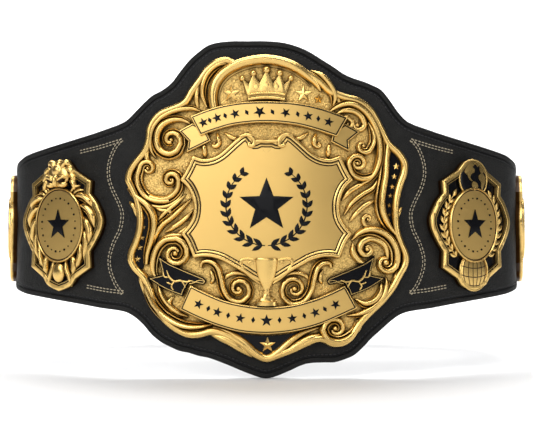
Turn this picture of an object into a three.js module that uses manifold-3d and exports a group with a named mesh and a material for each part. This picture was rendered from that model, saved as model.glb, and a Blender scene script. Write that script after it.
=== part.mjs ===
// A championship title belt: a shaped leather strap with five cast, gilded plates.
// Millimetres, +Z up. The front of the belt faces -Y, and the wearer's right hand is at -X.
// The origin is the centre of the waist, at mid-height of the strap's sides.
import * as THREE from 'three';
import { mergeVertices } from 'three/addons/utils/BufferGeometryUtils.js';
import Module from 'manifold-3d';

const wasm = await Module();
wasm.setup();

// Driving dimensions
const strapThickness = 4.5;
const strapBevel = 1.2;
const frontTop = 153;
const frontBottom = 125;
const sideTop = 83;
const sideBottom = 70;
const backTop = 52;
const backBottom = 52;
const overlap = 60;
const endRadius = 14;
const hipArc = 105;
const outerArc = 65;

const plateWidth = 238;
const plateHeight = 254;
const plateRise = 14;
const plateSpacing = 18.5;
const sidePlateWidth = 96;
const sidePlateHeight = 115;
const sidePlateRise = 3;
const outerSpacing = 28;
const outerPlateWidth = 88;
const outerPlateHeight = 104;

const gap = 0.3;
const baseThickness = 3;
const rimHeight = 4.6;
const rimWidth = 4.4;
const panelThickness = 3.8;
const ribbonThickness = 6;
const enamelThickness = 0.8;
const screwHeadRadius = 6;
const screwHeadHeight = 1.6;
const screwRadius = 2.3;
const snapRadius = 6.5;
const snapHeight = 2.2;

// Levels above the strap's outer face
const plateBack = gap;
const field = plateBack + baseThickness;
const seat = field + gap;
const rimTop = field + rimHeight;

// A table: one row for each array, with the named columns
const table = (names, ...rows) => rows.map((row) => Object.fromEntries(names.map((name, i) => [name, row[i]])));

const degrees = Math.PI / 180;

// The plan of the strap's outer face, from the front centre round one side to the back.
// Each stretch is an arc with its length and how far it turns, in degrees.
const bendLength = 5;
const stretches = table(
  ['length', 'turn'],
  [plateWidth / 2 - bendLength, 13],
  [plateSpacing + bendLength, 15],
  [sidePlateWidth, 13],
  [outerSpacing + bendLength / 2, 32],
  [outerArc, 12],
  [hipArc, 61],
);

// Follow the arcs and keep where each one starts; the last arc closes the loop at the back
function layPlan(rows) {
  const arcs = [];
  let at = 0;
  let x = 0;
  let y = 0;
  let heading = 0;
  for (const row of rows) {
    const radius = row.length / (row.turn * degrees);
    const end = heading + row.turn * degrees;
    arcs.push({ at, x, y, heading, radius });
    x += radius * (Math.sin(end) - Math.sin(heading));
    y += radius * (Math.cos(heading) - Math.cos(end));
    heading = end;
    at += row.length;
  }
  const radius = x / Math.sin(heading);
  arcs.push({ at, x, y, heading, radius });
  const half = at + radius * (Math.PI - heading);
  const depth = y + radius * (Math.cos(heading) + 1);
  return { arcs, half, depth };
}

const plan = layPlan(stretches);

// The point and heading of the strap's outer face at a distance from the front centre
function planAt(distance) {
  const side = Math.sign(distance) || 1;
  const length = Math.abs(distance);
  const arc = plan.arcs.findLast((one) => one.at <= length) ?? plan.arcs[0];
  const heading = arc.heading + (length - arc.at) / arc.radius;
  const x = arc.x + arc.radius * (Math.sin(heading) - Math.sin(arc.heading));
  const y = arc.y + arc.radius * (Math.cos(arc.heading) - Math.cos(heading));
  return { side, x, y, heading };
}

// Flat space holds a piece as it lies unrolled: x along the strap, -y outwards, z up.
// Rolling bends it round the waist.
function roll(flat) {
  const { side, x, y, heading } = planAt(flat.x);
  const out = -flat.y;
  return new THREE.Vector3(
    side * (x + out * Math.sin(heading)),
    y - out * Math.cos(heading) - plan.depth / 2,
    flat.z,
  );
}

// A flat mesh is cut finer along the strap before it is rolled, so that it bends smoothly
const bendStep = 30.5;

function refine(points, faces) {
  let list = faces;
  for (;;) {
    const middles = new Map();
    const middle = (a, b) => {
      if (Math.abs(points[a].x - points[b].x) <= bendStep) return -1;
      const key = a < b ? `${a} ${b}` : `${b} ${a}`;
      if (!middles.has(key)) {
        middles.set(key, points.length);
        points.push(points[a].clone().add(points[b]).multiplyScalar(0.5));
      }
      return middles.get(key);
    };
    const next = [];
    for (const [a, b, c] of list) {
      const ab = middle(a, b);
      const bc = middle(b, c);
      const ca = middle(c, a);
      next.push(...splitFace([a, b, c], [ab, bc, ca]));
    }
    if (!middles.size) return list;
    list = next;
  }
}

// Split one triangle at the middles of those of its edges that have one
function splitFace([a, b, c], [ab, bc, ca]) {
  const cut = (ab >= 0) + (bc >= 0) + (ca >= 0);
  if (cut === 0) return [[a, b, c]];
  if (cut === 3) return [[a, ab, ca], [ab, b, bc], [ca, bc, c], [ab, bc, ca]];
  if (cut === 1) {
    if (ab >= 0) return [[a, ab, c], [ab, b, c]];
    if (bc >= 0) return [[b, bc, a], [bc, c, a]];
    return [[c, ca, b], [ca, a, b]];
  }
  if (ab < 0) return [[c, ca, bc], [ca, a, bc], [a, b, bc]];
  if (bc < 0) return [[a, ab, ca], [ab, b, ca], [b, c, ca]];
  return [[b, bc, ab], [bc, c, ab], [c, a, ab]];
}

// Closed solids for joining and cutting
function toSolid(points, faces) {
  let volume = 0;
  for (const [a, b, c] of faces) {
    volume += points[a].dot(points[b].clone().cross(points[c]));
  }
  const turned = volume < 0 ? faces.map(([a, b, c]) => [a, c, b]) : faces;
  const vertProperties = new Float32Array(points.flatMap((p) => [p.x, p.y, p.z]));
  const triVerts = new Uint32Array(turned.flat());
  return new wasm.Manifold(new wasm.Mesh({ numProp: 3, vertProperties, triVerts }));
}

const join = (solids) => solids.reduce((whole, one) => whole.add(one));
const cut = (solid, tools) => tools.reduce((whole, one) => whole.subtract(one), solid);

function readSolid(solid) {
  const mesh = solid.getMesh();
  const points = [];
  for (let i = 0; i < mesh.vertProperties.length; i += mesh.numProp) {
    const [x, y, z] = mesh.vertProperties.slice(i, i + 3);
    points.push(new THREE.Vector3(x, y, z));
  }
  const faces = [];
  for (let i = 0; i < mesh.triVerts.length; i += 3) {
    faces.push([...mesh.triVerts.slice(i, i + 3)]);
  }
  return { points, faces };
}

// Outlines are lists of {x, y}, seen from outside the belt, +y up
function area(outline) {
  return outline.reduce((sum, p, i) => {
    const q = outline[(i + 1) % outline.length];
    return sum + (p.x * q.y - q.x * p.y) / 2;
  }, 0);
}

const facing = (outline) => (area(outline) < 0 ? [...outline].reverse() : outline);

// Move an outline inwards, or outwards where the distance is negative
function inset(outline, distance) {
  const count = outline.length;
  return outline.map((point, i) => {
    const before = outline[(i + count - 1) % count];
    const after = outline[(i + 1) % count];
    const first = new THREE.Vector2(point.x - before.x, point.y - before.y).normalize();
    const second = new THREE.Vector2(after.x - point.x, after.y - point.y).normalize();
    const sum = new THREE.Vector2(-first.y - second.y, first.x + second.x);
    const reach = Math.max(sum.length() / 2, 0.55);
    sum.normalize().multiplyScalar(distance / reach);
    return { x: point.x + sum.x, y: point.y + sum.y };
  });
}

// Join rings of points into a closed solid; the cap is the first ring's own triangles
function loft(rings, cap) {
  const count = rings[0].length;
  const faces = [];
  for (let k = 0; k + 1 < rings.length; k += 1) {
    for (let i = 0; i < count; i += 1) {
      const j = (i + 1) % count;
      const a = k * count + i;
      const b = k * count + j;
      faces.push([a, b, b + count], [a, b + count, a + count]);
    }
  }
  const last = (rings.length - 1) * count;
  for (const [a, b, c] of cap(rings[0])) faces.push([a, c, b]);
  for (const [a, b, c] of cap(rings.at(-1))) faces.push([last + a, last + b, last + c]);
  return toSolid(rings.flat(), faces);
}

// Caps: a fan for a convex ring, and ears for any flat outline
const fan = (ring) => ring.slice(2).map((_, i) => [0, i + 1, i + 2]);
const ears = (ring) => THREE.ShapeUtils.triangulateShape(ring.map((p) => new THREE.Vector2(p.x, p.z)), []);

const raised = (outline, out) => outline.map((p) => new THREE.Vector3(p.x, -out, p.y));

// A relief built up from one outline: each level is an inset and a height above the strap
function stack(outline, steps) {
  const ring = facing(outline);
  return loft(steps.map(({ inset: distance, out }) => raised(inset(ring, distance), out)), ears);
}

const levels = (...rows) => table(['inset', 'out'], ...rows);
const slab = (outline, low, high) => stack(outline, levels([0, low], [0, high]));
const bevelled = (outline, low, high, bevel) => (
  stack(outline, levels([0, low], [0, high - bevel], [bevel, high]))
);

const round = (x, y, radius, sides = 8, stretch = 1) => Array.from({ length: sides }, (_, i) => {
  const angle = (2 * Math.PI * (i + 0.5)) / sides;
  return { x: x + radius * Math.cos(angle), y: y + radius * stretch * Math.sin(angle) };
});

// The space that a seated piece needs in the castings round it, from under the field upwards
const sunk = 1;
const clearOf = (outline) => slab(inset(facing(outline), -gap), field - sunk * 1.2, rimTop * 3);
const within = (outline, distance) => slab(inset(facing(outline), distance + gap), 0, rimTop * 3);

// A smooth curve through some points, as a list of points
function smooth(points, steps, closed = false) {
  const places = points.map((p) => new THREE.Vector3(p.x, p.y, 0));
  const curve = new THREE.CatmullRomCurve3(places, closed, 'centripetal');
  const list = curve.getSpacedPoints(steps);
  return (closed ? list.slice(0, -1) : list).map(({ x, y }) => ({ x, y }));
}

// A raised strand: a ridge swept along a curve, swelling in the middle and narrow at its ends
const strandStep = 11.5;
const strandTip = 0.35;

function strand({ points, width, crest, low = field - sunk }) {
  const length = points.reduce((sum, p, i) => (
    i ? sum + Math.hypot(p.x - points[i - 1].x, p.y - points[i - 1].y) : 0
  ), 0);
  const steps = Math.max(4, Math.round(length / strandStep));
  const line = smooth(points, steps);
  const section = table(['side', 'level'], [-1, 0], [1, 0], [0.45, 1], [-0.45, 1]);
  const rings = line.map((p, i) => {
    const before = line[Math.max(i - 1, 0)];
    const after = line[Math.min(i + 1, steps)];
    const across = new THREE.Vector2(before.y - after.y, after.x - before.x).normalize();
    const share = Math.min(Math.max(i / steps, 0.04), 0.96);
    const swell = strandTip + (1 - strandTip) * Math.sin(Math.PI * share) ** 0.6;
    const half = (width / 2) * swell;
    const top = field + (crest - field) * (0.4 + 0.6 * swell);
    return section.map(({ side, level }) => new THREE.Vector3(
      p.x + across.x * half * side,
      -THREE.MathUtils.lerp(low, top, level),
      p.y + across.y * half * side,
    ));
  });
  return loft(rings, fan);
}

// A rounded boss on a round or oval foot
const domeRows = table(['reach', 'rise'], [1, 0], [1, 0.4], [0.75, 0.82], [0.3, 1]);

function dome({ x, y, radius, stretch = 1, low, out, sides = 10 }) {
  const rings = domeRows.map(({ reach, rise }) => (
    raised(round(x, y, radius * reach, sides, stretch), THREE.MathUtils.lerp(low, out, rise))
  ));
  return loft(rings, fan);
}

// Materials
const gold = new THREE.MeshStandardMaterial({ color: 0xd8ad55, roughness: 0.28, metalness: 1 });
const enamel = new THREE.MeshStandardMaterial({ color: 0x0c0c0e, roughness: 0.12, metalness: 0 });
const leather = new THREE.MeshStandardMaterial({ color: 0x1b1b1e, roughness: 0.7, metalness: 0 });
const nickel = new THREE.MeshStandardMaterial({ color: 0xb9bcc0, roughness: 0.35, metalness: 1 });

const belt = new THREE.Group();

// Move a flat solid to its place on the strap, roll it and add it to the belt
function place(name, solid, material, { along = 0, up = 0 } = {}) {
  const { points, faces } = readSolid(solid);
  for (const p of points) {
    p.x += along;
    p.z += up;
  }
  const fine = refine(points, faces);
  const geometry = new THREE.BufferGeometry();
  const places = points.map(roll).flatMap((p) => [p.x, p.y, p.z]);
  geometry.setAttribute('position', new THREE.Float32BufferAttribute(places, 3));
  geometry.setIndex(fine.flat());
  const mesh = new THREE.Mesh(mergeVertices(geometry, 1e-3), material);
  mesh.name = name;
  belt.add(mesh);
}

// Strap edge behind the main plate: shares of the way to the plate's edge, and of the strap's
// front height above and below the middle, as it shows round the plate
const edgeRows = table(
  ['along', 'topLeft', 'topRight', 'bottomLeft', 'bottomRight'],
  [0.00, 1.00, 1.00, 1.00, 1.00],
  [0.13, 1.00, 0.99, 0.966, 0.962],
  [0.27, 1.00, 0.955, 0.912, 0.906],
  [0.40, 0.983, 0.896, 0.868, 0.898],
  [0.47, 0.948, 0.863, 0.856, 0.898],
  [0.54, 0.902, 0.827, 0.837, 0.880],
  [0.61, 0.837, 0.804, 0.824, 0.853],
  [0.67, 0.778, 0.791, 0.800, 0.805],
  [0.74, 0.739, 0.771, 0.768, 0.739],
  [0.81, 0.712, 0.745, 0.716, 0.684],
  [0.87, 0.673, 0.693, 0.653, 0.636],
  [0.94, 0.621, 0.621, 0.600, 0.592],
  [1.01, 0.575, 0.573, 0.571, 0.571],
);
// Then shares of the way from the plate's edge to the back, and of the step down to the back
const taperRows = table(
  ['along', 'fall'],
  [0.045, 0.05],
  [0.08, 0.17],
  [0.125, 0.30],
  [0.17, 0.42],
  [0.22, 0.56],
  [0.24, 0.65],
  [0.27, 0.76],
  [0.31, 0.86],
  [0.36, 0.92],
  [0.45, 0.96],
  [0.60, 1.00],
);

const plateHalf = plateWidth / 2;
const behind = plan.half - plateHalf;

function edgePoints(side) {
  const left = side < 0;
  const shares = edgeRows.map((row) => ({
    at: row.along * plateHalf,
    top: frontTop * (left ? row.topLeft : row.topRight),
    bottom: -frontBottom * (left ? row.bottomLeft : row.bottomRight),
  }));
  const taper = taperRows.map((row) => ({
    at: plateHalf + row.along * behind,
    top: THREE.MathUtils.lerp(sideTop, backTop, row.fall),
    bottom: -THREE.MathUtils.lerp(sideBottom, backBottom, row.fall),
  }));
  return [...shares, ...taper, { at: plan.half + overlap, top: backTop, bottom: -backBottom }];
}

const edges = { left: edgePoints(-1), right: edgePoints(1) };

// Height of the strap's edges at a distance from the front centre
function edgeAt(distance) {
  const rows = distance < 0 ? edges.left : edges.right;
  const at = Math.abs(distance);
  const next = Math.max(1, rows.findIndex((row) => row.at > at));
  const before = rows[next - 1];
  const after = rows[next];
  const share = (at - before.at) / (after.at - before.at);
  return {
    top: THREE.MathUtils.lerp(before.top, after.top, share),
    bottom: THREE.MathUtils.lerp(before.bottom, after.bottom, share),
  };
}

// The strap's left end rides up over its right end at the back
const strapEnd = plan.half + overlap / 2;
const rampStart = plan.half - overlap * 1.6;
const rampEnd = plan.half - overlap * 0.7;

function strapLift(distance) {
  return (strapThickness + gap) * THREE.MathUtils.smoothstep(-distance, rampStart, rampEnd);
}

// Where the strap's cross sections stand: close together where its edge or plan bends
function sectionPlaces() {
  const half = edgePoints(1).map((row) => row.at).filter((at) => at < plateHalf + behind * 0.3);
  const rest = Math.ceil((strapEnd - endRadius - half.at(-1)) / bendStep);
  for (let i = 1, from = half.at(-1); i <= rest; i += 1) {
    half.push(from + ((strapEnd - endRadius - from) * i) / rest);
  }
  for (const angle of [40, 70, 90]) {
    half.push(strapEnd - endRadius * (1 - Math.sin(angle * degrees)));
  }
  return [...half.slice(1).reverse().map((at) => -at), ...half];
}

function strapSolid() {
  const rings = sectionPlaces().map((at) => {
    const { top, bottom } = edgeAt(at);
    const past = Math.max(0, Math.abs(at) - (strapEnd - endRadius));
    const corner = endRadius - Math.sqrt(Math.max(0, endRadius ** 2 - past ** 2));
    const high = top - corner;
    const low = bottom + corner;
    const outer = strapLift(at);
    const inner = outer - strapThickness;
    const section = table(
      ['out', 'z'],
      [inner, low],
      [outer - strapBevel, low],
      [outer, low + strapBevel],
      [outer, high - strapBevel],
      [outer - strapBevel, high],
      [inner, high],
    );
    return section.map(({ out, z }) => new THREE.Vector3(at, -out, z));
  });
  return loft(rings, fan);
}

// Centres of the plates along the strap
const sideAlong = plateHalf + plateSpacing + sidePlateWidth / 2;
const outerAlong = sideAlong + sidePlateWidth / 2 + outerSpacing + outerPlateWidth / 2;

// Plain screws hold the plates from inside; places are shares of each plate's half size
const screwRows = table(
  ['plate', 'along', 'up', 'acrossShare', 'upShare'],
  ['main_plate', 0, plateRise, 0.62 * plateWidth, 0.62 * plateHeight],
  ['side_plate_left', -sideAlong, sidePlateRise, 0, 0.62 * sidePlateHeight],
  ['side_plate_right', sideAlong, sidePlateRise, 0, 0.62 * sidePlateHeight],
  ['outer_plate_left', -outerAlong, 0, 0, 0.62 * outerPlateHeight],
  ['outer_plate_right', outerAlong, 0, 0, 0.62 * outerPlateHeight],
);

function screwPlaces() {
  const list = [];
  for (const row of screwRows) {
    const sides = row.acrossShare ? [-0.5, 0.5] : [0];
    let count = 0;
    for (const side of sides) {
      for (const end of [-0.5, 0.5]) {
        count += 1;
        list.push({
          name: `${row.plate}_screw_${count}`,
          x: row.along + side * row.acrossShare,
          y: row.up + end * row.upShare,
        });
      }
    }
  }
  return list;
}

// Snaps stand in two columns through both ends of the strap
const snapPlaces = [];
for (const column of [-0.25, 0.25]) {
  for (const end of [-0.5, 0.5]) {
    snapPlaces.push({
      name: `snap_${snapPlaces.length + 1}`,
      x: plan.half + column * overlap,
      y: end * backTop,
    });
  }
}

function makeStrap() {
  const holeRadius = screwRadius + gap;
  const hole = ({ x, y }) => slab(round(x, y, holeRadius, 6), -strapThickness * 2, strapThickness * 3);
  const holes = [
    ...screwPlaces().map(hole),
    ...snapPlaces.map(hole),
    ...snapPlaces.map(({ x, y }) => hole({ x: x - 2 * plan.half, y })),
  ];
  place('strap', cut(strapSolid(), holes), leather);
}

function makeScrews() {
  const inner = -strapThickness - gap;
  for (const { name, x, y } of screwPlaces()) {
    const shank = screwHeadRadius - screwRadius;
    const screw = stack(round(0, 0, screwHeadRadius), levels(
      [0, inner - screwHeadHeight],
      [0, inner],
      [shank, inner],
      [shank, 0],
    ));
    place(name, screw, nickel, { along: x, up: y });
  }
}

function makeSnaps() {
  const inner = -strapThickness - gap;
  const outer = strapThickness + 2 * gap;
  const shank = snapRadius - screwRadius;
  for (const { name, x, y } of snapPlaces) {
    const snap = stack(round(0, 0, snapRadius), levels(
      [0, inner - screwHeadHeight],
      [0, inner],
      [shank, inner],
      [shank, outer],
      [0, outer],
      [snapRadius * 0.35, outer + snapHeight],
    ));
    place(name, snap, nickel, { along: x, up: y });
  }
}

// Main plate: its tables are drawn on a grid of 290 by 310 units over the plate's width and
// height, with the origin at its centre
const gridWide = 290;
const gridHigh = 310;
const unitX = plateWidth / gridWide;
const unitY = plateHeight / gridHigh;
const unit = (unitX + unitY) / 2;
const onGrid = (...pairs) => table(['x', 'y'], ...pairs).map(({ x, y }) => ({ x: x * unitX, y: y * unitY }));
const mirrored = (half) => [...half, ...half.filter((p) => p.x !== 0).reverse().map((p) => ({ x: -p.x, y: p.y }))];

const mainOutline = onGrid(
  [0, 154], [19, 151], [37, 143], [54, 133], [66, 122], [79, 117], [94, 113], [106, 104], [114, 92],
  [120, 80], [126, 69], [136, 60], [143, 49], [143, 37], [138, 23], [134.7, 9], [133.7, -5],
  [135, -22], [139, -34], [144, -46], [143, -58], [137, -69], [129, -83], [118, -96], [105, -108],
  [94, -120], [87, -131], [77, -138], [65, -139], [53, -134], [39, -139], [26, -145], [13, -150],
  [0, -154], [-13, -149], [-26, -139], [-40, -131], [-53, -127], [-66, -130], [-78, -130],
  [-90, -125], [-101, -117], [-109, -108], [-116, -96], [-121, -82], [-126, -72], [-134, -64],
  [-140, -54], [-140, -44], [-135, -32], [-131.5, -20], [-131, -5], [-134, 9], [-139, 20],
  [-143.5, 30], [-141, 41], [-134, 51], [-126, 61], [-122.5, 71], [-121, 83], [-115, 94],
  [-106, 101.5], [-94, 106], [-84, 111], [-78, 121], [-70, 132], [-62, 143], [-52, 151],
  [-40, 154], [-29, 150], [-16, 153],
);

// Strands of the scrollwork: width and crest in grid units, and the centre line
const strandRows = table(
  ['width', 'crest', 'line'],
  // Arch over the crown, and the leaf at its right
  [8, 6.5, [[-52, 103], [-52, 115], [-48, 126], [-40, 136], [-29, 144], [-16, 148.5], [0, 150], [17, 148],
    [31, 142], [42, 133], [52, 121]]],
  [7, 6, [[46, 138], [57, 131], [65, 121], [70, 113]]],
  // Crescents at the top left
  [7, 6.5, [[-62, 104], [-65, 118], [-63, 131], [-57, 141], [-48, 148], [-38, 149]]],
  // Upper left
  [9, 7, [[-63, 100], [-71, 105], [-81, 107], [-94, 106], [-106, 100], [-114, 91], [-119, 80], [-119, 68],
    [-114, 56]]],
  [7, 6, [[-76, 94], [-88, 96], [-99, 92], [-108, 83], [-111, 71], [-107, 59], [-97, 52], [-86, 55],
    [-80, 64], [-84, 73], [-93, 76], [-98, 69]]],
  [6, 6, [[-121, 58], [-130, 48], [-135, 40], [-136, 32], [-133, 24], [-126, 16]]],
  [6, 6, [[-128, 36], [-128, 26], [-123, 18], [-114, 11], [-103, 10], [-93, 15], [-87, 26], [-91, 36],
    [-100, 38], [-104, 31]]],
  [5, 5, [[-78, 8], [-91, -4], [-106, -14], [-116, -27], [-121, -42]]],
  // Lower left
  [7, 6, [[-111, -62], [-112, -54], [-108, -40], [-100, -32], [-89, -31], [-80, -38], [-79, -49],
    [-87, -56], [-95, -52]]],
  [9, 7, [[-116, -17], [-123, -37], [-125, -57], [-122, -77], [-116, -95], [-106, -110], [-94, -119],
    [-81, -124], [-66, -124], [-50, -121]]],
  [6, 5.5, [[-112, -74], [-108, -89], [-100, -103], [-88, -113], [-76, -116], [-63, -113]]],
  [5, 5.5, [[-57, -56], [-47, -54], [-43, -64], [-40, -76], [-33, -87], [-20, -91], [-14, -81], [-20, -72],
    [-29, -76]]],
  // Upper right
  [9, 7, [[61, 102], [67, 109], [76, 114], [86, 115], [97, 111], [107, 102], [114, 90], [118, 78],
    [120, 63], [119, 48], [114, 35], [104, 25], [92, 20]]],
  [7, 6, [[106, 96], [112, 83], [112, 69], [107, 59], [98, 57], [93, 64]]],
  [6, 6, [[114, 43], [107, 35], [96, 32], [86, 37], [84, 47], [91, 55], [99, 50]]],
  [5, 5, [[79, -7], [89, 8], [102, 18], [114, 28]]],
  // Lower right
  [7, 6, [[84, -32], [92, -24], [104, -21], [116, -26], [124, -36], [126, -48], [120, -58], [110, -56]]],
  [6, 5.5, [[108, -26], [98, -31], [92, -42], [98, -51], [108, -48]]],
  [8, 6.5, [[125, -70], [125, -84], [116, -97], [101, -106], [86, -110]]],
  [5, 5.5, [[58, -56], [47, -54], [43, -64], [40, -76], [34, -86], [22, -88], [16, -79], [23, -71], [30, -76]]],
  [8, 6.5, [[94, -115], [84, -130], [72, -134], [62, -127], [64, -116], [74, -115]]],
  // Bands of the V at the bottom
  [6, 6, [[-48, -120], [-36, -125], [-21, -136], [-8, -147], [0, -150]]],
  [6, 6, [[54, -124], [36, -126], [21, -137], [8, -147], [0, -150]]],
  // Strips beside the enamel
  [5, 6, [[-131, 12], [-120, 1], [-117, -12], [-120, -27], [-124, -42]]],
  [5, 6, [[122, 58], [122, 40], [119, 20], [118, 2], [124, -16]]],
);

// Round bosses in the eyes of the scrolls
const bossRows = table(
  ['x', 'y', 'radius'],
  [-90.5, -46, 4],
  [118, -53, 6],
  [72, -125, 4],
  [-97, 71, 4],
  [91, 46, 4],
  [-98, 30, 4],
);

const panelOutline = mirrored(onGrid(
  [0, 68], [7, 68], [10, 62], [16, 75], [23, 74], [31, 69], [38, 63], [46, 55], [54, 51], [63, 50],
  [73, 54], [77, 45], [82, 36], [86, 29], [78, 22], [74, 13], [72, 3], [74, -9], [78, -17], [85, -25],
  [79, -32], [75, -41], [72, -50], [63, -49], [54, -49], [44, -52], [34, -57], [23, -64], [8, -73],
));

const ribbonTop = onGrid(
  [-75, 93], [-61, 98.5], [-46, 103], [-26, 106.5], [0, 107.5], [29, 106], [54, 101], [80, 92],
  [69, 72.5], [49, 79], [29, 84], [0, 86.5], [-31, 84], [-51, 78.5], [-65, 73.5],
);
const ribbonTopTails = [
  onGrid([-74, 85], [-88, 78], [-77.5, 69.5], [-78, 58], [-55, 67], [-60, 78]),
  onGrid([78, 85], [93, 78], [81, 69], [82, 59], [65, 67], [66, 77]),
];
const ribbonBottom = onGrid(
  [-74.5, -77], [-56, -86], [-41, -92], [-21, -96.5], [0, -98.5], [22, -97], [39, -93], [54, -88],
  [77, -77.5], [89, -100], [69, -109], [49, -117], [24, -123], [0, -125], [-26, -123], [-48, -117],
  [-66, -110], [-85, -101],
);
const tailLeft = onGrid(
  [-106, -47], [-96, -54], [-83, -60], [-71, -65], [-60, -70], [-60, -75.5], [-74, -73], [-79, -82],
  [-81, -88], [-101, -80], [-116, -70], [-103, -65],
);
const tailRight = onGrid(
  [108, -47], [98, -54], [85, -60], [73, -65], [62, -70], [62, -75.5], [76, -74], [81, -82],
  [83, -88], [103, -80], [118, -70], [105, -65],
);
const crownOutline = mirrored(onGrid(
  [0, 139], [2.8, 129], [6, 125], [10, 132], [13, 136], [14.6, 128], [15, 124], [23, 131], [18, 117],
  [17, 111], [8, 111.5],
));
const cupOutline = mirrored(onGrid(
  [0, -49], [10.5, -49], [10, -56], [8, -64], [4.5, -71], [2, -78], [3, -82], [6.5, -86], [7, -91],
  [10, -92], [10, -95], [0, -95.8],
));
const bottomEnamel = onGrid(
  [-44, -122], [-26, -126.5], [0, -128.5], [26, -126.5], [45, -122], [34, -127.5], [20, -138],
  [8, -146.5], [0, -148.5], [-9, -146.5], [-21, -138], [-34, -127.5],
);
const stripLeft = onGrid(
  [-129, 3], [-123, 1], [-120, -6], [-119, -14], [-120, -24], [-123, -35], [-126, -47], [-127, -58],
  [-133, -58], [-135, -50], [-133, -41], [-130, -32], [-127, -20], [-126.5, -8],
);
const stripRight = onGrid(
  [128, 58], [135, 52], [137, 44], [134.5, 33], [130, 19], [127.2, 2], [128.5, -14], [125, -14],
  [121.5, -6], [120.8, 5], [122.3, 18], [125.5, 32], [126.5, 45],
);

function starOutline(x, y, radius, waist = 0.42) {
  return Array.from({ length: 10 }, (_, i) => {
    const angle = (90 + 36 * i) * degrees;
    const reach = i % 2 ? radius * waist : radius;
    return { x: x + reach * Math.cos(angle), y: y + reach * Math.sin(angle) };
  });
}

// Stars on the main plate: place and radius in grid units
const starRows = table(
  ['name', 'x', 'y', 'radius'],
  ['field_star_left', -35, 116.5, 8.5],
  ['field_star_right', 37, 116, 8.5],
  ['field_star_small', 52, 111, 4.5],
  ['bottom_star', 1, -136.5, 7],
);
const stars = starRows.map((row) => ({
  name: row.name,
  outline: starOutline(row.x * unitX, row.y * unitY, row.radius * unit),
}));

const emblemRadius = 38;

function cupHandle(side) {
  const line = onGrid([8, -51], [18, -51], [21, -56], [18, -64], [9, -72], [4, -75]);
  const points = line.map((p) => ({ x: side * p.x, y: p.y }));
  return strand({ points, width: 3 * unit, crest: field + 4.5, low: seat });
}

function makeMainPlate() {
  const base = stack(mainOutline, levels(
    [0, plateBack],
    [0, rimTop - 1.2],
    [rimWidth * 0.4, rimTop],
    [rimWidth, field],
  ));
  const strands = strandRows.map((row) => strand({
    points: onGrid(...row.line),
    width: row.width * unit,
    crest: field + row.crest * 0.85,
  }));
  const bosses = bossRows.map((row) => dome({
    x: row.x * unitX,
    y: row.y * unitY,
    radius: row.radius * unit,
    low: field - sunk,
    out: field + 5,
    sides: 8,
  }));
  const outlines = [
    panelOutline, ribbonTop, ...ribbonTopTails, ribbonBottom, tailLeft, tailRight, crownOutline,
    cupOutline, bottomEnamel, stripLeft, stripRight, ...stars.map((star) => star.outline),
  ];
  const spaces = [...outlines, handleSpace(-1), handleSpace(1)].map(clearOf);
  place('main_plate', join([base, cut(join([...strands, ...bosses]), spaces)]), gold, { up: plateRise });
}

// The space that a cup handle needs, a little wider than the handle
function handleSpace(side) {
  const outline = onGrid([6, -48], [19, -48], [24, -56], [20, -67], [10, -76], [2, -80]);
  return outline.map((p) => ({ x: side * p.x, y: p.y }));
}

function makePanel() {
  const face = seat + panelThickness;
  const edge = face + 1.3;
  const panel = stack(panelOutline, levels(
    [0, seat],
    [0, edge],
    [2.6, edge],
    [3.6, face],
  ));
  const spaces = [clearOf(cupOutline), clearOf(handleSpace(-1)), clearOf(handleSpace(1))];
  place('centre_panel', cut(panel, spaces), gold, { up: plateRise });
  const emblem = starOutline(0, 2 * unitY, emblemRadius * unit);
  place('centre_emblem', slab(emblem, face + gap, face + gap + enamelThickness), enamel, { up: plateRise });
}

function makeRibbons() {
  const top = seat + ribbonThickness;
  const tail = seat + ribbonThickness * 0.55;
  const upper = join([
    bevelled(ribbonTop, seat, top, 0.9),
    ...ribbonTopTails.map((outline) => bevelled(outline, seat, tail, 0.6)),
  ]);
  place('upper_ribbon', upper, gold, { up: plateRise });
  const lowerSpace = clearOf(ribbonBottom);
  place('lower_ribbon', bevelled(ribbonBottom, seat, top, 0.9), gold, { up: plateRise });
  for (const [name, outline] of [['ribbon_tail_left', tailLeft], ['ribbon_tail_right', tailRight]]) {
    place(name, cut(bevelled(outline, seat, tail, 0.6), [lowerSpace]), enamel, { up: plateRise });
  }
}

function makeCrown() {
  const balls = table(
    ['x', 'y', 'radius'],
    [0, 139, 3.7], [13, 135, 3], [-13, 135, 3], [23, 130, 2.7], [-23, 130, 2.7],
  );
  const crown = join([
    bevelled(crownOutline, seat, seat + 3.4, 0.8),
    ...balls.map((ball) => dome({
      x: ball.x * unitX,
      y: ball.y * unitY,
      radius: ball.radius * unit,
      low: seat,
      out: seat + 4.4,
      sides: 6,
    })),
  ]);
  const spaces = [clearOf(ribbonTop)];
  place('crown', cut(crown, spaces), gold, { up: plateRise });
}

function makeCup() {
  const body = bevelled(cupOutline, seat, seat + 6.4, 1.1);
  const cup = join([body, cupHandle(-1), cupHandle(1)]);
  place('trophy_cup', cut(cup, [clearOf(ribbonBottom)]), gold, { up: plateRise });
}

function makeStars() {
  for (const { name, outline } of stars) {
    const low = name === 'bottom_star' ? seat + enamelThickness + gap : seat;
    place(name, slab(outline, low, low + 1.8), gold, { up: plateRise });
  }
}

function makeEnamel() {
  const high = seat + enamelThickness;
  const lowerSpace = clearOf(ribbonBottom);
  const floor = within(mainOutline, rimWidth);
  const bottom = cut(slab(bottomEnamel, seat, high).intersect(floor), [lowerSpace]);
  place('bottom_enamel', bottom, enamel, { up: plateRise });
  place('enamel_strip_left', slab(stripLeft, seat, high).intersect(floor), enamel, { up: plateRise });
  place('enamel_strip_right', slab(stripRight, seat, high).intersect(floor), enamel, { up: plateRise });
}

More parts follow.
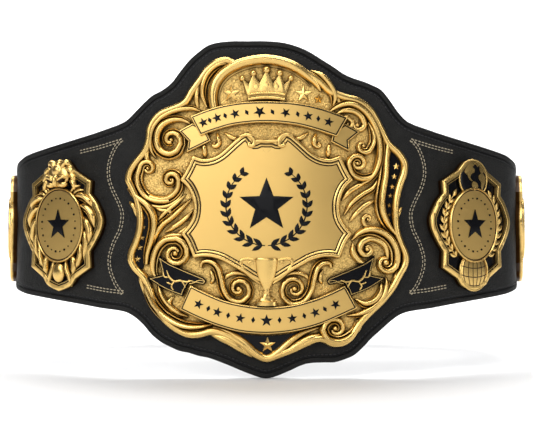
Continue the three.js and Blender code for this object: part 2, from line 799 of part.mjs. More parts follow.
// Side plates: a waisted shield, drawn on a grid of 96 by 115 units
const sideGridWide = 96;
const sideGridHigh = 115;
const shieldRows = table(
  ['x', 'y'],
  [0, 58], [10, 56], [18, 48], [35.5, 39], [34.5, 28], [43, 17], [48, 4], [43, -10], [34.5, -23],
  [35.5, -36], [19, -45], [14, -52], [0, -57],
);
const frameWidth = 5;
const ovalWidth = 55;
const ovalHeight = 62;
const ovalRise = 1;
const ovalSides = 20;
const sideFrameHeight = 3;

const shield = (width, height) => mirrored(shieldRows.map(({ x, y }) => ({
  x: (x * width) / sideGridWide,
  y: (y * height) / sideGridHigh,
})));

const sideX = (x) => (x * sidePlateWidth) / sideGridWide;
const sideY = (y) => (y * sidePlateHeight) / sideGridHigh;
const onSide = (...pairs) => table(['x', 'y'], ...pairs).map(({ x, y }) => ({ x: sideX(x), y: sideY(y) }));
const flip = (points) => points.map((p) => ({ x: -p.x, y: p.y }));

// A framed plate with a sunk floor
function framedPlate(outline) {
  const top = field + sideFrameHeight;
  return stack(outline, levels(
    [0, plateBack],
    [0, top - 1],
    [frameWidth * 0.5, top],
    [frameWidth, field],
  ));
}

// An oval medallion with a raised edge
function medallion(outline) {
  const face = seat + 2.6;
  return stack(outline, levels([0, seat], [0, face + 1.2], [2, face + 1.2], [2.8, face]));
}

const ovalSide = round(0, ovalRise, ovalWidth / 2, ovalSides, ovalHeight / ovalWidth);

// Lion's head: rounded lumps in side grid units
const lionRows = table(
  ['x', 'y', 'radius', 'stretch', 'out'],
  [0, 47, 14, 0.95, 5.5],
  [-5, 53, 6, 0.6, 7.5],
  [5, 53, 6, 0.6, 7.5],
  [0, 47, 4, 1.9, 9],
  [-4.5, 40, 5, 0.8, 8],
  [4.5, 40, 5, 0.8, 8],
  [-12.5, 54, 4.5, 1, 6],
  [12.5, 54, 4.5, 1, 6],
);
// Mane: locks that run down both sides of the medallion
const maneRows = table(
  ['width', 'line'],
  [6, [[13, 44], [24, 40], [31, 30], [34, 18]]],
  [6, [[33, 22], [40, 10], [41, -4], [35, -18]]],
  [6, [[32, 4], [36, -8], [33, -22], [26, -33]]],
  [6, [[30, -10], [29, -24], [21, -36], [10, -45]]],
);
const lionSpace = onSide(
  [0, 64], [9, 62], [18, 60], [18.5, 52], [15.5, 46], [13, 38], [8, 33], [0, 31], [-8, 33], [-13, 38],
  [-15.5, 46], [-18.5, 52], [-18, 60], [-9, 62],
);

function makeSidePlateLeft() {
  const at = { along: -sideAlong, up: sidePlateRise };
  const locks = maneRows.flatMap((row) => {
    const line = onSide(...row.line);
    const sizes = { width: row.width, crest: field + 4.4 };
    return [strand({ points: line, ...sizes }), strand({ points: flip(line), ...sizes })];
  });
  const spaces = [clearOf(ovalSide), clearOf(lionSpace)];
  const frame = cut(framedPlate(shield(sidePlateWidth, sidePlateHeight)), [slab(lionSpace, field, rimTop * 3)]);
  place('side_plate_left', join([frame, cut(join(locks), spaces)]), gold, at);
  place('medallion_left', cut(medallion(ovalSide), [clearOf(lionSpace)]), gold, at);
  const head = join(lionRows.map((row) => dome({
    x: sideX(row.x),
    y: sideY(row.y),
    radius: row.radius,
    stretch: row.stretch,
    low: seat,
    out: seat + row.out,
    sides: 7,
  })));
  place('lion_head', head, gold, at);
}

// Laurel: a stem on each side of the medallion, with leaves on alternate sides
const laurelStem = [[21, 28], [29.5, 15], [34, 1], [30, -14], [20, -27]];
const leafCount = 8;
const leafLength = 9.5;
const leafWidth = 4.4;
const leafTurn = 38;

function laurel(side) {
  const stem = onSide(...laurelStem).map((p) => ({ x: side * p.x, y: p.y }));
  const low = seat + enamelThickness + gap;
  const line = smooth(stem, leafCount);
  const leaves = line.slice(1).map((foot, i) => {
    const ahead = line[i];
    const angle = Math.atan2(ahead.y - foot.y, ahead.x - foot.x) + (i % 2 ? 1 : -1) * leafTurn * degrees;
    const point = (reach, across) => ({
      x: foot.x + Math.cos(angle) * reach * leafLength - Math.sin(angle) * across * leafWidth,
      y: foot.y + Math.sin(angle) * reach * leafLength + Math.cos(angle) * across * leafWidth,
    });
    return slab([point(-0.12, 0), point(0.45, -0.5), point(1, 0), point(0.45, 0.5)], low, seat + 3);
  });
  return join([strand({ points: stem, width: 2.4, crest: seat + 2.4, low }), ...leaves]);
}

const globeRadius = 14;
const lowerGlobeRadius = 14;

function globe(y, radius) {
  return dome({ x: 0, y, radius, low: seat + enamelThickness + gap, out: seat + radius * 0.5, sides: 16 });
}

function makeSidePlateRight() {
  const at = { along: sideAlong, up: sidePlateRise };
  const upper = sideY(44);
  const lower = sideY(-42);
  const globeSpaces = [
    slab(round(0, upper, globeRadius + gap, 16), field, rimTop * 3),
    slab(round(0, lower, lowerGlobeRadius + gap, 16), field, rimTop * 3),
  ];
  const plate = cut(framedPlate(shield(sidePlateWidth, sidePlateHeight)), globeSpaces);
  place('side_plate_right', plate, gold, at);
  place('medallion_right', cut(medallion(ovalSide), globeSpaces), gold, at);
  const floorOutline = inset(facing(shield(sidePlateWidth, sidePlateHeight)), frameWidth + gap);
  const floor = cut(slab(floorOutline, seat, seat + enamelThickness), [clearOf(ovalSide)]);
  place('side_enamel_right', floor, enamel, at);
  place('globe_top', globe(upper, globeRadius), gold, at);
  place('globe_bottom', globe(lower, lowerGlobeRadius), gold, at);
  const keep = [clearOf(ovalSide), ...globeSpaces];
  const inside = within(shield(sidePlateWidth, sidePlateHeight), frameWidth);
  place('laurel_left', cut(laurel(-1).intersect(inside), keep), gold, at);
  place('laurel_right', cut(laurel(1).intersect(inside), keep), gold, at);
}

function makeOuterPlates() {
  const outline = shield(outerPlateWidth, outerPlateHeight);
  const share = outerPlateWidth / sidePlateWidth;
  const disc = round(0, ovalRise, (ovalWidth * share) / 2, ovalSides, ovalHeight / ovalWidth);
  for (const [name, side] of [['left', -1], ['right', 1]]) {
    const at = { along: side * outerAlong };
    place(`outer_plate_${name}`, framedPlate(outline), gold, at);
    place(`outer_medallion_${name}`, medallion(disc), gold, at);
  }
}

makeStrap();
makeScrews();
makeSnaps();
makeMainPlate();
makePanel();
makeRibbons();
makeCrown();
makeCup();
makeStars();
makeEnamel();
makeSidePlateLeft();
makeSidePlateRight();
makeOuterPlates();

export default belt;
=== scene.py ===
import math
from collections import namedtuple

import bmesh
import bpy
from bpy.props import FloatProperty, FloatVectorProperty, PointerProperty
from mathutils import Matrix, Vector
from mathutils.bvhtree import BVHTree


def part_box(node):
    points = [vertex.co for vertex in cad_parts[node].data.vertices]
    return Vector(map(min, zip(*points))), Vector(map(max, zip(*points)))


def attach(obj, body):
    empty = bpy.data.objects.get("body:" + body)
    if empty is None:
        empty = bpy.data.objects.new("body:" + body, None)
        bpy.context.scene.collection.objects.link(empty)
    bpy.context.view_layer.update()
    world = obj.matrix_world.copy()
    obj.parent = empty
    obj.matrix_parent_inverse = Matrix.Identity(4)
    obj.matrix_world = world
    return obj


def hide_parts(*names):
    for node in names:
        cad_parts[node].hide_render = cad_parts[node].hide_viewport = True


bl_info = {
    "name": "Championship Belt",
    "version": (1, 0, 0),
    "blender": (4, 5, 0),
    "location": "3D View > Sidebar > Belt",
    "description": "Makes the leather strap and gilded plates of a championship title belt",
    "category": "Object",
}

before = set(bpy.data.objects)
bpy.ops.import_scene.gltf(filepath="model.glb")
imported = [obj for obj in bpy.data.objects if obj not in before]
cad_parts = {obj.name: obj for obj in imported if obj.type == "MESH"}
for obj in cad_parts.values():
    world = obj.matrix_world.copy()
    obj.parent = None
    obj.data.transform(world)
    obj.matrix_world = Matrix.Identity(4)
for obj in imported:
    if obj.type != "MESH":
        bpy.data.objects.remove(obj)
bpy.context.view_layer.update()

MM = 0.001

# The belt is drawn flat, in metres: x along the strap, y up, z out from the strap's outer face.
# Rolling then bends a drawing round the waist, on the plan of the strap.

PLATE_WIDTH = 238 * MM
SIDE_PLATE_WIDTH = 96 * MM
OUTER_PLATE_WIDTH = 88 * MM
PLATE_SPACING = 18.5 * MM
OUTER_SPACING = 28 * MM
HIP_ARC = 105 * MM
OUTER_ARC = 65 * MM
BEND_LENGTH = 5 * MM
OVERLAP = 60 * MM
END_RADIUS = 14 * MM

# Stretches of the plan from the front centre round one side: length and turn in degrees
STRETCHES = (
    (PLATE_WIDTH / 2 - BEND_LENGTH, 13),
    (PLATE_SPACING + BEND_LENGTH, 15),
    (SIDE_PLATE_WIDTH, 13),
    (OUTER_SPACING + BEND_LENGTH / 2, 32),
    (OUTER_ARC, 12),
    (HIP_ARC, 61),
)

# Levels out from the strap's outer face
GAP = 0.3 * MM
STRAP_THICKNESS = 4.5 * MM
FIELD = 3.3 * MM
SEAT = FIELD + GAP
PANEL_FACE = 7.4 * MM
PANEL_EDGE = 8.9 * MM
RIBBON_TOP = 9.6 * MM
TAIL_TOP = 6.9 * MM
ENAMEL_TOP = 4.4 * MM

Arc = namedtuple("Arc", "at x y heading radius")


def lay_plan():
    """The plan's arcs, half its length round and its depth from front to back."""
    arcs = []
    at = x = y = heading = 0.0
    for length, turn in STRETCHES:
        end = heading + math.radians(turn)
        radius = length / (end - heading)
        arcs.append(Arc(at, x, y, heading, radius))
        x += radius * (math.sin(end) - math.sin(heading))
        y += radius * (math.cos(heading) - math.cos(end))
        at += length
        heading = end
    radius = x / math.sin(heading)
    arcs.append(Arc(at, x, y, heading, radius))
    half = at + radius * (math.pi - heading)
    depth = y + radius * (math.cos(heading) + 1)
    return arcs, half, depth


ARCS, HALF, DEPTH = lay_plan()


def rolled(along, up, out):
    """A drawn point's place on the belt."""
    length = abs(along)
    side = -1 if along < 0 else 1
    arc = next(arc for arc in reversed(ARCS) if arc.at <= length)
    heading = arc.heading + (length - arc.at) / arc.radius
    x = arc.x + arc.radius * (math.sin(heading) - math.sin(arc.heading))
    y = arc.y + arc.radius * (math.cos(arc.heading) - math.cos(heading))
    return Vector((
        side * (x + out * math.sin(heading)),
        y - out * math.cos(heading) - DEPTH / 2,
        up,
    ))


# Where each plate's drawing lies on the strap
def middle_height(node):
    """The height of a solid's middle, and how tall the solid is."""
    low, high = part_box(node)
    return (low.z + high.z) / 2, high.z - low.z


PLATE_RISE, PLATE_HEIGHT = middle_height("main_plate")
SIDE_RISE, SIDE_HEIGHT = middle_height("side_plate_left")
SIDE_DROP = 2 * MM
OUTER_RISE, OUTER_HEIGHT = middle_height("outer_plate_left")
SIDE_ALONG = PLATE_WIDTH / 2 + PLATE_SPACING + SIDE_PLATE_WIDTH / 2
OUTER_ALONG = SIDE_ALONG + SIDE_PLATE_WIDTH / 2 + OUTER_SPACING + OUTER_PLATE_WIDTH / 2

# The front plate is drawn on a grid of 290 by 310 units, a side plate on one of 96 by 115
UNIT_X = PLATE_WIDTH / 290
UNIT_Y = PLATE_HEIGHT / 310
UNIT = (UNIT_X + UNIT_Y) / 2
SIDE_GRID = (96, 115)
SIDE_UNIT = (SIDE_PLATE_WIDTH / SIDE_GRID[0] + SIDE_HEIGHT / SIDE_GRID[1]) / 2


def grid(*points):
    return [Vector((x * UNIT_X, y * UNIT_Y)) for x, y in points]


def side_grid(*points, width=SIDE_PLATE_WIDTH, height=SIDE_HEIGHT):
    return [Vector((x * width / SIDE_GRID[0], y * height / SIDE_GRID[1])) for x, y in points]


def flipped(points):
    return [Vector((-p.x, p.y)) for p in points]


# Sizes and colours that a user may change

class BeltSizes(bpy.types.PropertyGroup):
    border: FloatProperty(
        name="Strap border", description="Width of the strap's raised border",
        default=4.6 * MM, unit="LENGTH")
    border_rise: FloatProperty(
        name="Border rise", description="Height of the strap's raised border",
        default=0.9 * MM, unit="LENGTH")
    groove: FloatProperty(
        name="Stitch groove", description="Width of the groove that the edge stitches lie in",
        default=2.0 * MM, unit="LENGTH")
    stitch: FloatProperty(
        name="Stitch pitch", description="Distance from one stitch to the next",
        default=3.5 * MM, unit="LENGTH")
    thread: FloatProperty(
        name="Thread", description="Radius of the sewing thread",
        default=0.42 * MM, unit="LENGTH")
    rim: FloatProperty(
        name="Plate rim", description="Width of the front plate's rounded rim",
        default=6.4 * MM, unit="LENGTH")
    hammer_depth: FloatProperty(
        name="Hammer depth", description="Depth of the tool marks in the sunk field",
        default=0.8 * MM, unit="LENGTH")


class BeltColours(bpy.types.PropertyGroup):
    gilt: FloatVectorProperty(
        name="Gilt", description="Colour of the polished gilding",
        default=(0.78, 0.52, 0.17), size=3, min=0, max=1, subtype="COLOR")
    satin: FloatVectorProperty(
        name="Satin gilt", description="Colour of the brushed panel and ribbons",
        default=(0.76, 0.50, 0.16), size=3, min=0, max=1, subtype="COLOR")
    # This brown is also the colour of the painted shade in the gilt's enclosed crevices.
    patina: FloatVectorProperty(
        name="Patina", description="Dark brown left in the hollows of the casting",
        default=(0.030, 0.012, 0.003), size=3, min=0, max=1, subtype="COLOR")
    enamel: FloatVectorProperty(
        name="Enamel", description="Colour of the black enamel",
        default=(0.004, 0.004, 0.005), size=3, min=0, max=1, subtype="COLOR")
    leather: FloatVectorProperty(
        name="Leather", description="Colour of the strap's leather",
        default=(0.0050, 0.0049, 0.0044), size=3, min=0, max=1, subtype="COLOR")
    cream: FloatVectorProperty(
        name="Cream thread", description="Colour of the stitching on the strap's face",
        default=(0.50, 0.43, 0.30), size=3, min=0, max=1, subtype="COLOR")
    nickel: FloatVectorProperty(
        name="Nickel", description="Colour of the snaps and screws",
        default=(0.62, 0.62, 0.63), size=3, min=0, max=1, subtype="COLOR")


def sizes():
    return bpy.context.scene.belt_sizes


def colours():
    return bpy.context.scene.belt_colours


# Node groups shared by the finishes

def node(tree, kind, inputs=None, **settings):
    made = tree.nodes.new(kind)
    for name, value in settings.items():
        setattr(made, name, value)
    for name, value in (inputs or {}).items():
        if isinstance(value, bpy.types.NodeSocket):
            tree.links.new(value, made.inputs[name])
        else:
            made.inputs[name].default_value = value
    return made


def node_group(name, inputs, outputs):
    """An empty group with named sockets, and its input and output nodes."""
    tree = bpy.data.node_groups.new(name, "ShaderNodeTree")
    for socket, kind, value in inputs:
        made = tree.interface.new_socket(socket, in_out="INPUT", socket_type=kind)
        if value is not None:
            made.default_value = value
    for socket, kind in outputs:
        tree.interface.new_socket(socket, in_out="OUTPUT", socket_type=kind)
    return tree, tree.nodes.new("NodeGroupInput"), tree.nodes.new("NodeGroupOutput")


def shared(name):
    """One of the shared effects, built the first time that a finish uses it."""
    return bpy.data.node_groups.get(name) or EFFECTS[name](name)


def place_group(tree, name, **inputs):
    made = node(tree, "ShaderNodeGroup")
    made.node_tree = shared(name)
    for socket, value in inputs.items():
        wanted = made.inputs[socket.replace("_", " ")]
        if isinstance(value, bpy.types.NodeSocket):
            tree.links.new(value, wanted)
        else:
            wanted.default_value = value
    return made


def make_patina_and_shade_colour(name):
    """Bright metal on the crests and patina in the hollows, with a slow drift in between, and
    darkened further towards the patina by painted shade in crevices that ambient occlusion finds
    enclosed.
    """
    tree, given, out = node_group(
        name,
        (("Coordinates", "NodeSocketVector", None), ("Relief", "NodeSocketFloat", 1.0),
         ("Shelter", "NodeSocketFloat", 1.0), ("Low", "NodeSocketFloat", 0.0),
         ("High", "NodeSocketFloat", 1.0), ("Bright", "NodeSocketColor", (1, 1, 1, 1)),
         ("Patina", "NodeSocketColor", (0, 0, 0, 1))),
        (("Color", "NodeSocketColor"), ("Roughness", "NodeSocketFloat")),
    )
    stains = node(tree, "ShaderNodeTexNoise", {"Vector": given.outputs["Coordinates"],
                                               "Scale": 160.0, "Detail": 4.0})
    uneven = node(tree, "ShaderNodeMath", {0: stains.outputs[0], 1: 0.9, 2: -0.45},
                  operation="MULTIPLY_ADD")
    height = node(tree, "ShaderNodeMath", {0: given.outputs["Relief"], 1: uneven.outputs[0]})
    crest = node(tree, "ShaderNodeMapRange",
                 {"Value": height.outputs[0], "From Min": given.outputs["Low"],
                  "From Max": given.outputs["High"]}, interpolation_type="SMOOTHSTEP")
    # Painted shade: the enclosed share, from ambient occlusion, also takes the colour towards the
    # patina.
    unshaded_share = node(tree, "ShaderNodeMapRange",
                    {"Value": given.outputs["Shelter"], "From Min": 0.3, "From Max": 0.92},
                    interpolation_type="SMOOTHSTEP")
    clean_and_unshaded = node(tree, "ShaderNodeMath", {0: crest.outputs[0], 1: unshaded_share.outputs[0]},
                 operation="MULTIPLY")
    colour = node(tree, "ShaderNodeMix", data_type="RGBA")
    tree.links.new(clean_and_unshaded.outputs[0], colour.inputs["Factor"])
    tree.links.new(given.outputs["Patina"], colour.inputs[6])
    tree.links.new(given.outputs["Bright"], colour.inputs[7])
    smears = node(tree, "ShaderNodeTexNoise", {"Vector": given.outputs["Coordinates"],
                                               "Scale": 45.0, "Detail": 5.0})
    dull = node(tree, "ShaderNodeMapRange", {"Value": clean_and_unshaded.outputs[0], "To Min": 0.5,
                                             "To Max": 0.21})
    rough = node(tree, "ShaderNodeMath", {0: smears.outputs[0], 1: 0.12, 2: dull.outputs[0]},
                 operation="MULTIPLY_ADD")
    tree.links.new(colour.outputs[2], out.inputs["Color"])
    tree.links.new(rough.outputs[0], out.inputs["Roughness"])
    return tree


def make_hammer_marks(name):
    """Small round tool marks, as a height and as a mask of their hollows."""
    tree, given, out = node_group(
        name,
        (("Coordinates", "NodeSocketVector", None), ("Scale", "NodeSocketFloat", 800.0)),
        (("Height", "NodeSocketFloat"), ("Mask", "NodeSocketFloat")),
    )
    warp = node(tree, "ShaderNodeTexNoise", {"Vector": given.outputs["Coordinates"],
                                             "Scale": 500.0, "Detail": 2.0})
    bent = node(tree, "ShaderNodeVectorMath", {0: warp.outputs["Color"], 1: (0.0008,) * 3,
                                               2: given.outputs["Coordinates"]},
                operation="MULTIPLY_ADD")
    cells = node(tree, "ShaderNodeTexVoronoi", {"Vector": bent.outputs[0],
                                                "Scale": given.outputs["Scale"]},
                 feature="SMOOTH_F1")
    mask = node(tree, "ShaderNodeMapRange", {"Value": cells.outputs["Distance"],
                                             "From Min": 0.15, "From Max": 0.75})
    tree.links.new(cells.outputs["Distance"], out.inputs["Height"])
    tree.links.new(mask.outputs[0], out.inputs["Mask"])
    return tree


def make_fine_grain(name):
    """A fine uneven skin, as a height."""
    tree, given, out = node_group(
        name,
        (("Coordinates", "NodeSocketVector", None), ("Scale", "NodeSocketFloat", 900.0),
         ("Stretch", "NodeSocketVector", (1.0, 1.0, 1.0))),
        (("Height", "NodeSocketFloat"),),
    )
    spread = node(tree, "ShaderNodeVectorMath", {0: given.outputs["Coordinates"],
                                                 1: given.outputs["Stretch"]},
                  operation="MULTIPLY")
    grain = node(tree, "ShaderNodeTexNoise", {"Vector": spread.outputs[0],
                                              "Scale": given.outputs["Scale"],
                                              "Detail": 2.0, "Roughness": 0.5})
    tree.links.new(grain.outputs[0], out.inputs["Height"])
    return tree


def make_leather_grain(name):
    """Pebbled leather: small cells with creases between them, and slow wrinkles."""
    tree, given, out = node_group(
        name,
        (("Coordinates", "NodeSocketVector", None), ("Scale", "NodeSocketFloat", 900.0)),
        (("Height", "NodeSocketFloat"), ("Mask", "NodeSocketFloat")),
    )
    cells = node(tree, "ShaderNodeTexVoronoi", {"Vector": given.outputs["Coordinates"],
                                                "Scale": given.outputs["Scale"]},
                 feature="DISTANCE_TO_EDGE")
    crease = node(tree, "ShaderNodeMapRange", {"Value": cells.outputs["Distance"],
                                               "From Max": 0.25})
    wrinkles = node(tree, "ShaderNodeTexNoise", {"Vector": given.outputs["Coordinates"],
                                                 "Scale": 220.0, "Detail": 2.0,
                                                 "Roughness": 0.55})
    height = node(tree, "ShaderNodeMath", {0: wrinkles.outputs[0], 1: 2.0,
                                           2: crease.outputs[0]}, operation="MULTIPLY_ADD")
    patches = node(tree, "ShaderNodeTexNoise", {"Vector": given.outputs["Coordinates"],
                                                "Scale": 70.0, "Detail": 6.0,
                                                "Roughness": 0.7})
    mask = node(tree, "ShaderNodeMapRange", {"Value": patches.outputs[0], "From Min": 0.35,
                                             "From Max": 0.68})
    tree.links.new(height.outputs[0], out.inputs["Height"])
    tree.links.new(mask.outputs[0], out.inputs["Mask"])
    return tree


EFFECTS = {
    "patina_and_shade_colour": make_patina_and_shade_colour,
    "hammer_marks": make_hammer_marks,
    "fine_grain": make_fine_grain,
    "leather_grain": make_leather_grain,
}


# Finishes

def opaque(colour):
    return (*colour, 1.0)


def new_finish(name):
    """A material with a Principled shader and Object coordinates."""
    material = bpy.data.materials.new(name)
    material.use_nodes = True
    tree = material.node_tree
    shader = tree.nodes["Principled BSDF"]
    place = node(tree, "ShaderNodeTexCoord").outputs["Object"]
    return material, tree, shader, place


def bump(tree, shader, height, depth):
    made = node(tree, "ShaderNodeBump", {"Height": height, "Distance": depth})
    tree.links.new(made.outputs["Normal"], shader.inputs["Normal"])


def vary_roughness(tree, shader, mask, low, high):
    """Roughness that follows a mask from low to high."""
    rough = node(tree, "ShaderNodeMapRange", {"Value": mask, "To Min": low, "To Max": high})
    tree.links.new(rough.outputs[0], shader.inputs["Roughness"])


def shade(colour, share):
    """A colour made darker or lighter."""
    return [min(part * share, 1) for part in colour]


def vary_colour(tree, shader, mask, first, second):
    """Base colour that follows a mask from the first colour to the second."""
    mix = node(tree, "ShaderNodeMix", {"Factor": mask}, data_type="RGBA")
    mix.inputs[6].default_value = opaque(first)
    mix.inputs[7].default_value = opaque(second)
    tree.links.new(mix.outputs[2], shader.inputs["Base Color"])


def patina_and_shade_gilt(name, low, high, bright, grain_depth):
    """Gilding over a casting: bright where it is handled, brown where it isn't, and darkened with
    painted shade in its enclosed crevices.
    """
    material, tree, shader, place = new_finish(name)
    relief = node(tree, "ShaderNodeAttribute", attribute_name="relief")
    # Ambient occlusion feeds painted shade into the colour.
    painted_shade_ao = node(tree, "ShaderNodeAmbientOcclusion", {"Distance": 3.5 * MM}, samples=6)
    patina_shade_mix = place_group(tree, "patina_and_shade_colour", Coordinates=place, Relief=relief.outputs["Fac"],
                       Shelter=painted_shade_ao.outputs["AO"], Low=low, High=high,
                       Bright=opaque(bright), Patina=opaque(colours().patina))
    tree.links.new(patina_shade_mix.outputs["Color"], shader.inputs["Base Color"])
    tree.links.new(patina_shade_mix.outputs["Roughness"], shader.inputs["Roughness"])
    shader.inputs["Metallic"].default_value = 1.0
    grain = place_group(tree, "fine_grain", Coordinates=place, Scale=600.0)
    bump(tree, shader, grain.outputs["Height"], grain_depth)
    return material


def make_gilt(name):
    return patina_and_shade_gilt(name, -0.3, 2.1, colours().gilt, 0.05 * MM)


def make_gilt_bright(name):
    """Polished ornaments with no patina, though painted shade still darkens their enclosed
    crevices.
    """
    return patina_and_shade_gilt(name, -3.0, -1.5, colours().gilt, 0.03 * MM)


def make_gilt_field(name):
    """The sunk ground of the casting, tooled all over with small marks, with patina in the marks
    and painted shade beside the raised work.
    """
    material, tree, shader, place = new_finish(name)
    # Ambient occlusion feeds painted shade into the colour, near the raised work.
    painted_shade_ao = node(tree, "ShaderNodeAmbientOcclusion", {"Distance": 4.5 * MM}, samples=6)
    marks = place_group(tree, "hammer_marks", Coordinates=place, Scale=780.0)
    hollow = node(tree, "ShaderNodeMath", {0: marks.outputs["Mask"], 1: -0.75, 2: 1.0},
                  operation="MULTIPLY_ADD")
    patina_shade_mix = place_group(tree, "patina_and_shade_colour", Coordinates=place, Relief=hollow.outputs[0],
                       Shelter=painted_shade_ao.outputs["AO"], Low=-0.5, High=1.0,
                       Bright=opaque(colours().gilt), Patina=opaque(colours().patina))
    tree.links.new(patina_shade_mix.outputs["Color"], shader.inputs["Base Color"])
    rough = node(tree, "ShaderNodeMath", {0: patina_shade_mix.outputs["Roughness"], 1: 0.14})
    tree.links.new(rough.outputs[0], shader.inputs["Roughness"])
    shader.inputs["Metallic"].default_value = 1.0
    lumps = node(tree, "ShaderNodeMath", {0: marks.outputs["Height"], 1: -1.0},
                 operation="MULTIPLY")
    bump(tree, shader, lumps.outputs[0], sizes().hammer_depth)
    return material


def make_gilt_satin(name):
    """Brushed gilding of the panel, ribbons and medallions."""
    material, tree, shader, place = new_finish(name)
    drift = node(tree, "ShaderNodeTexNoise", {"Vector": place, "Scale": 14.0, "Detail": 3.0})
    satin = colours().satin
    vary_colour(tree, shader, drift.outputs[0], shade(satin, 0.9), shade(satin, 1.08))
    brushed = place_group(tree, "fine_grain", Coordinates=place, Scale=1500.0,
                          Stretch=(0.06, 0.06, 1.0))
    rough = node(tree, "ShaderNodeMath", {0: brushed.outputs["Height"], 1: 0.16, 2: 0.27},
                 operation="MULTIPLY_ADD")
    tree.links.new(rough.outputs[0], shader.inputs["Roughness"])
    shader.inputs["Metallic"].default_value = 1.0
    bump(tree, shader, brushed.outputs["Height"], 0.02 * MM)
    return material


def make_antique_line(name):
    """Dark brown left in a cut line."""
    material, tree, shader, place = new_finish(name)
    specks = node(tree, "ShaderNodeTexNoise", {"Vector": place, "Scale": 700.0})
    vary_roughness(tree, shader, specks.outputs[0], 0.45, 0.75)
    shader.inputs["Base Color"].default_value = opaque(colours().patina)
    shader.inputs["Metallic"].default_value = 0.6
    return material


def make_black_enamel(name):
    """Fired black enamel, with a gloss coat over a faint orange peel."""
    material, tree, shader, place = new_finish(name)
    cloud = node(tree, "ShaderNodeTexNoise", {"Vector": place, "Scale": 90.0, "Detail": 3.0})
    vary_roughness(tree, shader, cloud.outputs[0], 0.12, 0.3)
    shader.inputs["Base Color"].default_value = opaque(colours().enamel)
    shader.inputs["Specular IOR Level"].default_value = 0.12
    shader.inputs["Coat Weight"].default_value = 0.04
    peel = place_group(tree, "fine_grain", Coordinates=place, Scale=350.0)
    bump(tree, shader, peel.outputs["Height"], 0.015 * MM)
    return material


def make_strap_leather(name):
    """Soft black leather, pebbled and slightly blotched."""
    material, tree, shader, place = new_finish(name)
    grain = place_group(tree, "leather_grain", Coordinates=place, Scale=560.0)
    leather = colours().leather
    vary_colour(tree, shader, grain.outputs["Mask"], leather, shade(leather, 2.6))
    vary_roughness(tree, shader, grain.outputs["Mask"], 0.48, 0.6)
    shader.inputs["Specular IOR Level"].default_value = 0.2
    bump(tree, shader, grain.outputs["Height"], 0.22 * MM)
    return material


EDGE_PAINT = (0.003, 0.003, 0.003)
BLACK_THREAD = (0.02, 0.02, 0.021)


def make_edge_paint(name):
    """The painted edges of the strap and the floor of its stitch groove."""
    material, tree, shader, place = new_finish(name)
    fibres = place_group(tree, "fine_grain", Coordinates=place, Scale=500.0,
                         Stretch=(0.3, 0.3, 1.0))
    vary_roughness(tree, shader, fibres.outputs["Height"], 0.35, 0.6)
    shader.inputs["Base Color"].default_value = opaque(EDGE_PAINT)
    shader.inputs["Specular IOR Level"].default_value = 0.2
    bump(tree, shader, fibres.outputs["Height"], 0.06 * MM)
    return material


def thread_finish(name, colour):
    """Twisted thread: fine slanting fibres, with painted shade in the grooves between the plies and
    painted light on the fibres' backs.
    """
    material, tree, shader, place = new_finish(name)
    twist_and_shade = node(tree, "ShaderNodeTexWave", {"Vector": place, "Scale": 520.0,
                                             "Distortion": 2.0}, bands_direction="DIAGONAL")
    # Painted shade and light: the colour darkens in the grooves between the plies and is full on
    # their crests.
    vary_colour(tree, shader, twist_and_shade.outputs["Fac"], shade(colour, 0.55), colour)
    shader.inputs["Roughness"].default_value = 0.7
    bump(tree, shader, twist_and_shade.outputs["Fac"], 0.1 * MM)
    return material


def make_cream_thread(name):
    return thread_finish(name, colours().cream)


def make_black_thread(name):
    return thread_finish(name, BLACK_THREAD)


def make_nickel(name):
    """Turned nickel with fine scratches."""
    material, tree, shader, place = new_finish(name)
    scratches = place_group(tree, "fine_grain", Coordinates=place, Scale=900.0,
                            Stretch=(1.0, 1.0, 0.1))
    vary_roughness(tree, shader, scratches.outputs["Height"], 0.2, 0.45)
    shader.inputs["Base Color"].default_value = opaque(colours().nickel)
    shader.inputs["Metallic"].default_value = 1.0
    bump(tree, shader, scratches.outputs["Height"], 0.02 * MM)
    return material


FINISHES = {
    "gilt": make_gilt,
    "gilt_bright": make_gilt_bright,
    "gilt_field": make_gilt_field,
    "gilt_satin": make_gilt_satin,
    "antique_line": make_antique_line,
    "black_enamel": make_black_enamel,
    "strap_leather": make_strap_leather,
    "edge_paint": make_edge_paint,
    "cream_thread": make_cream_thread,
    "black_thread": make_black_thread,
    "nickel": make_nickel,
}


def finish(name):
    """One of the finishes, built the first time that a piece uses it."""
    label = f"{name}_finish"
    return bpy.data.materials.get(label) or FINISHES[name](label)


# Drawing: curves, outlines and reliefs

def blend(a, b, low, high, t):
    """The place between a, reached at low, and b, reached at high."""
    return a + (b - a) * ((t - low) / (high - low))


def smooth(points, closed=False, steps=4):
    """A smooth line through the points, with a few steps from each to the next."""
    if closed:
        ends = [points[-1], *points, points[0], points[1]]
    else:
        ends = [2 * points[0] - points[1], *points, 2 * points[-1] - points[-2]]
    line = []
    for i in range(len(ends) - 3):
        near = ends[i:i + 4]
        knots = [0.0]
        for a, b in zip(near, near[1:]):
            knots.append(knots[-1] + max((b - a).length, 1e-9) ** 0.5)
        for step in range(steps):
            t = knots[1] + (knots[2] - knots[1]) * step / steps
            row = near
            for reach in (1, 2):
                row = [blend(row[k], row[k + 1], knots[k], knots[k + reach], t)
                       for k in range(len(row) - 1)]
            line.append(blend(row[0], row[1], knots[1], knots[2], t))
    if not closed:
        line.append(points[-1])
    return line


def outline_of(*stretches, steps=4):
    """A closed outline of smooth stretches, each starting at the corner where the last ends."""
    outline = []
    for points in stretches:
        outline += smooth(points, steps=steps)[:-1]
    return outline


def mirrored(*stretches):
    """Stretches of the right half, from top to bottom, and the same on the left back up."""
    return [*stretches, *[flipped(points)[::-1] for points in reversed(stretches)]]


def signed_area(outline):
    return sum(p.x * q.y - q.x * p.y for p, q in zip(outline, outline[1:] + outline[:1])) / 2


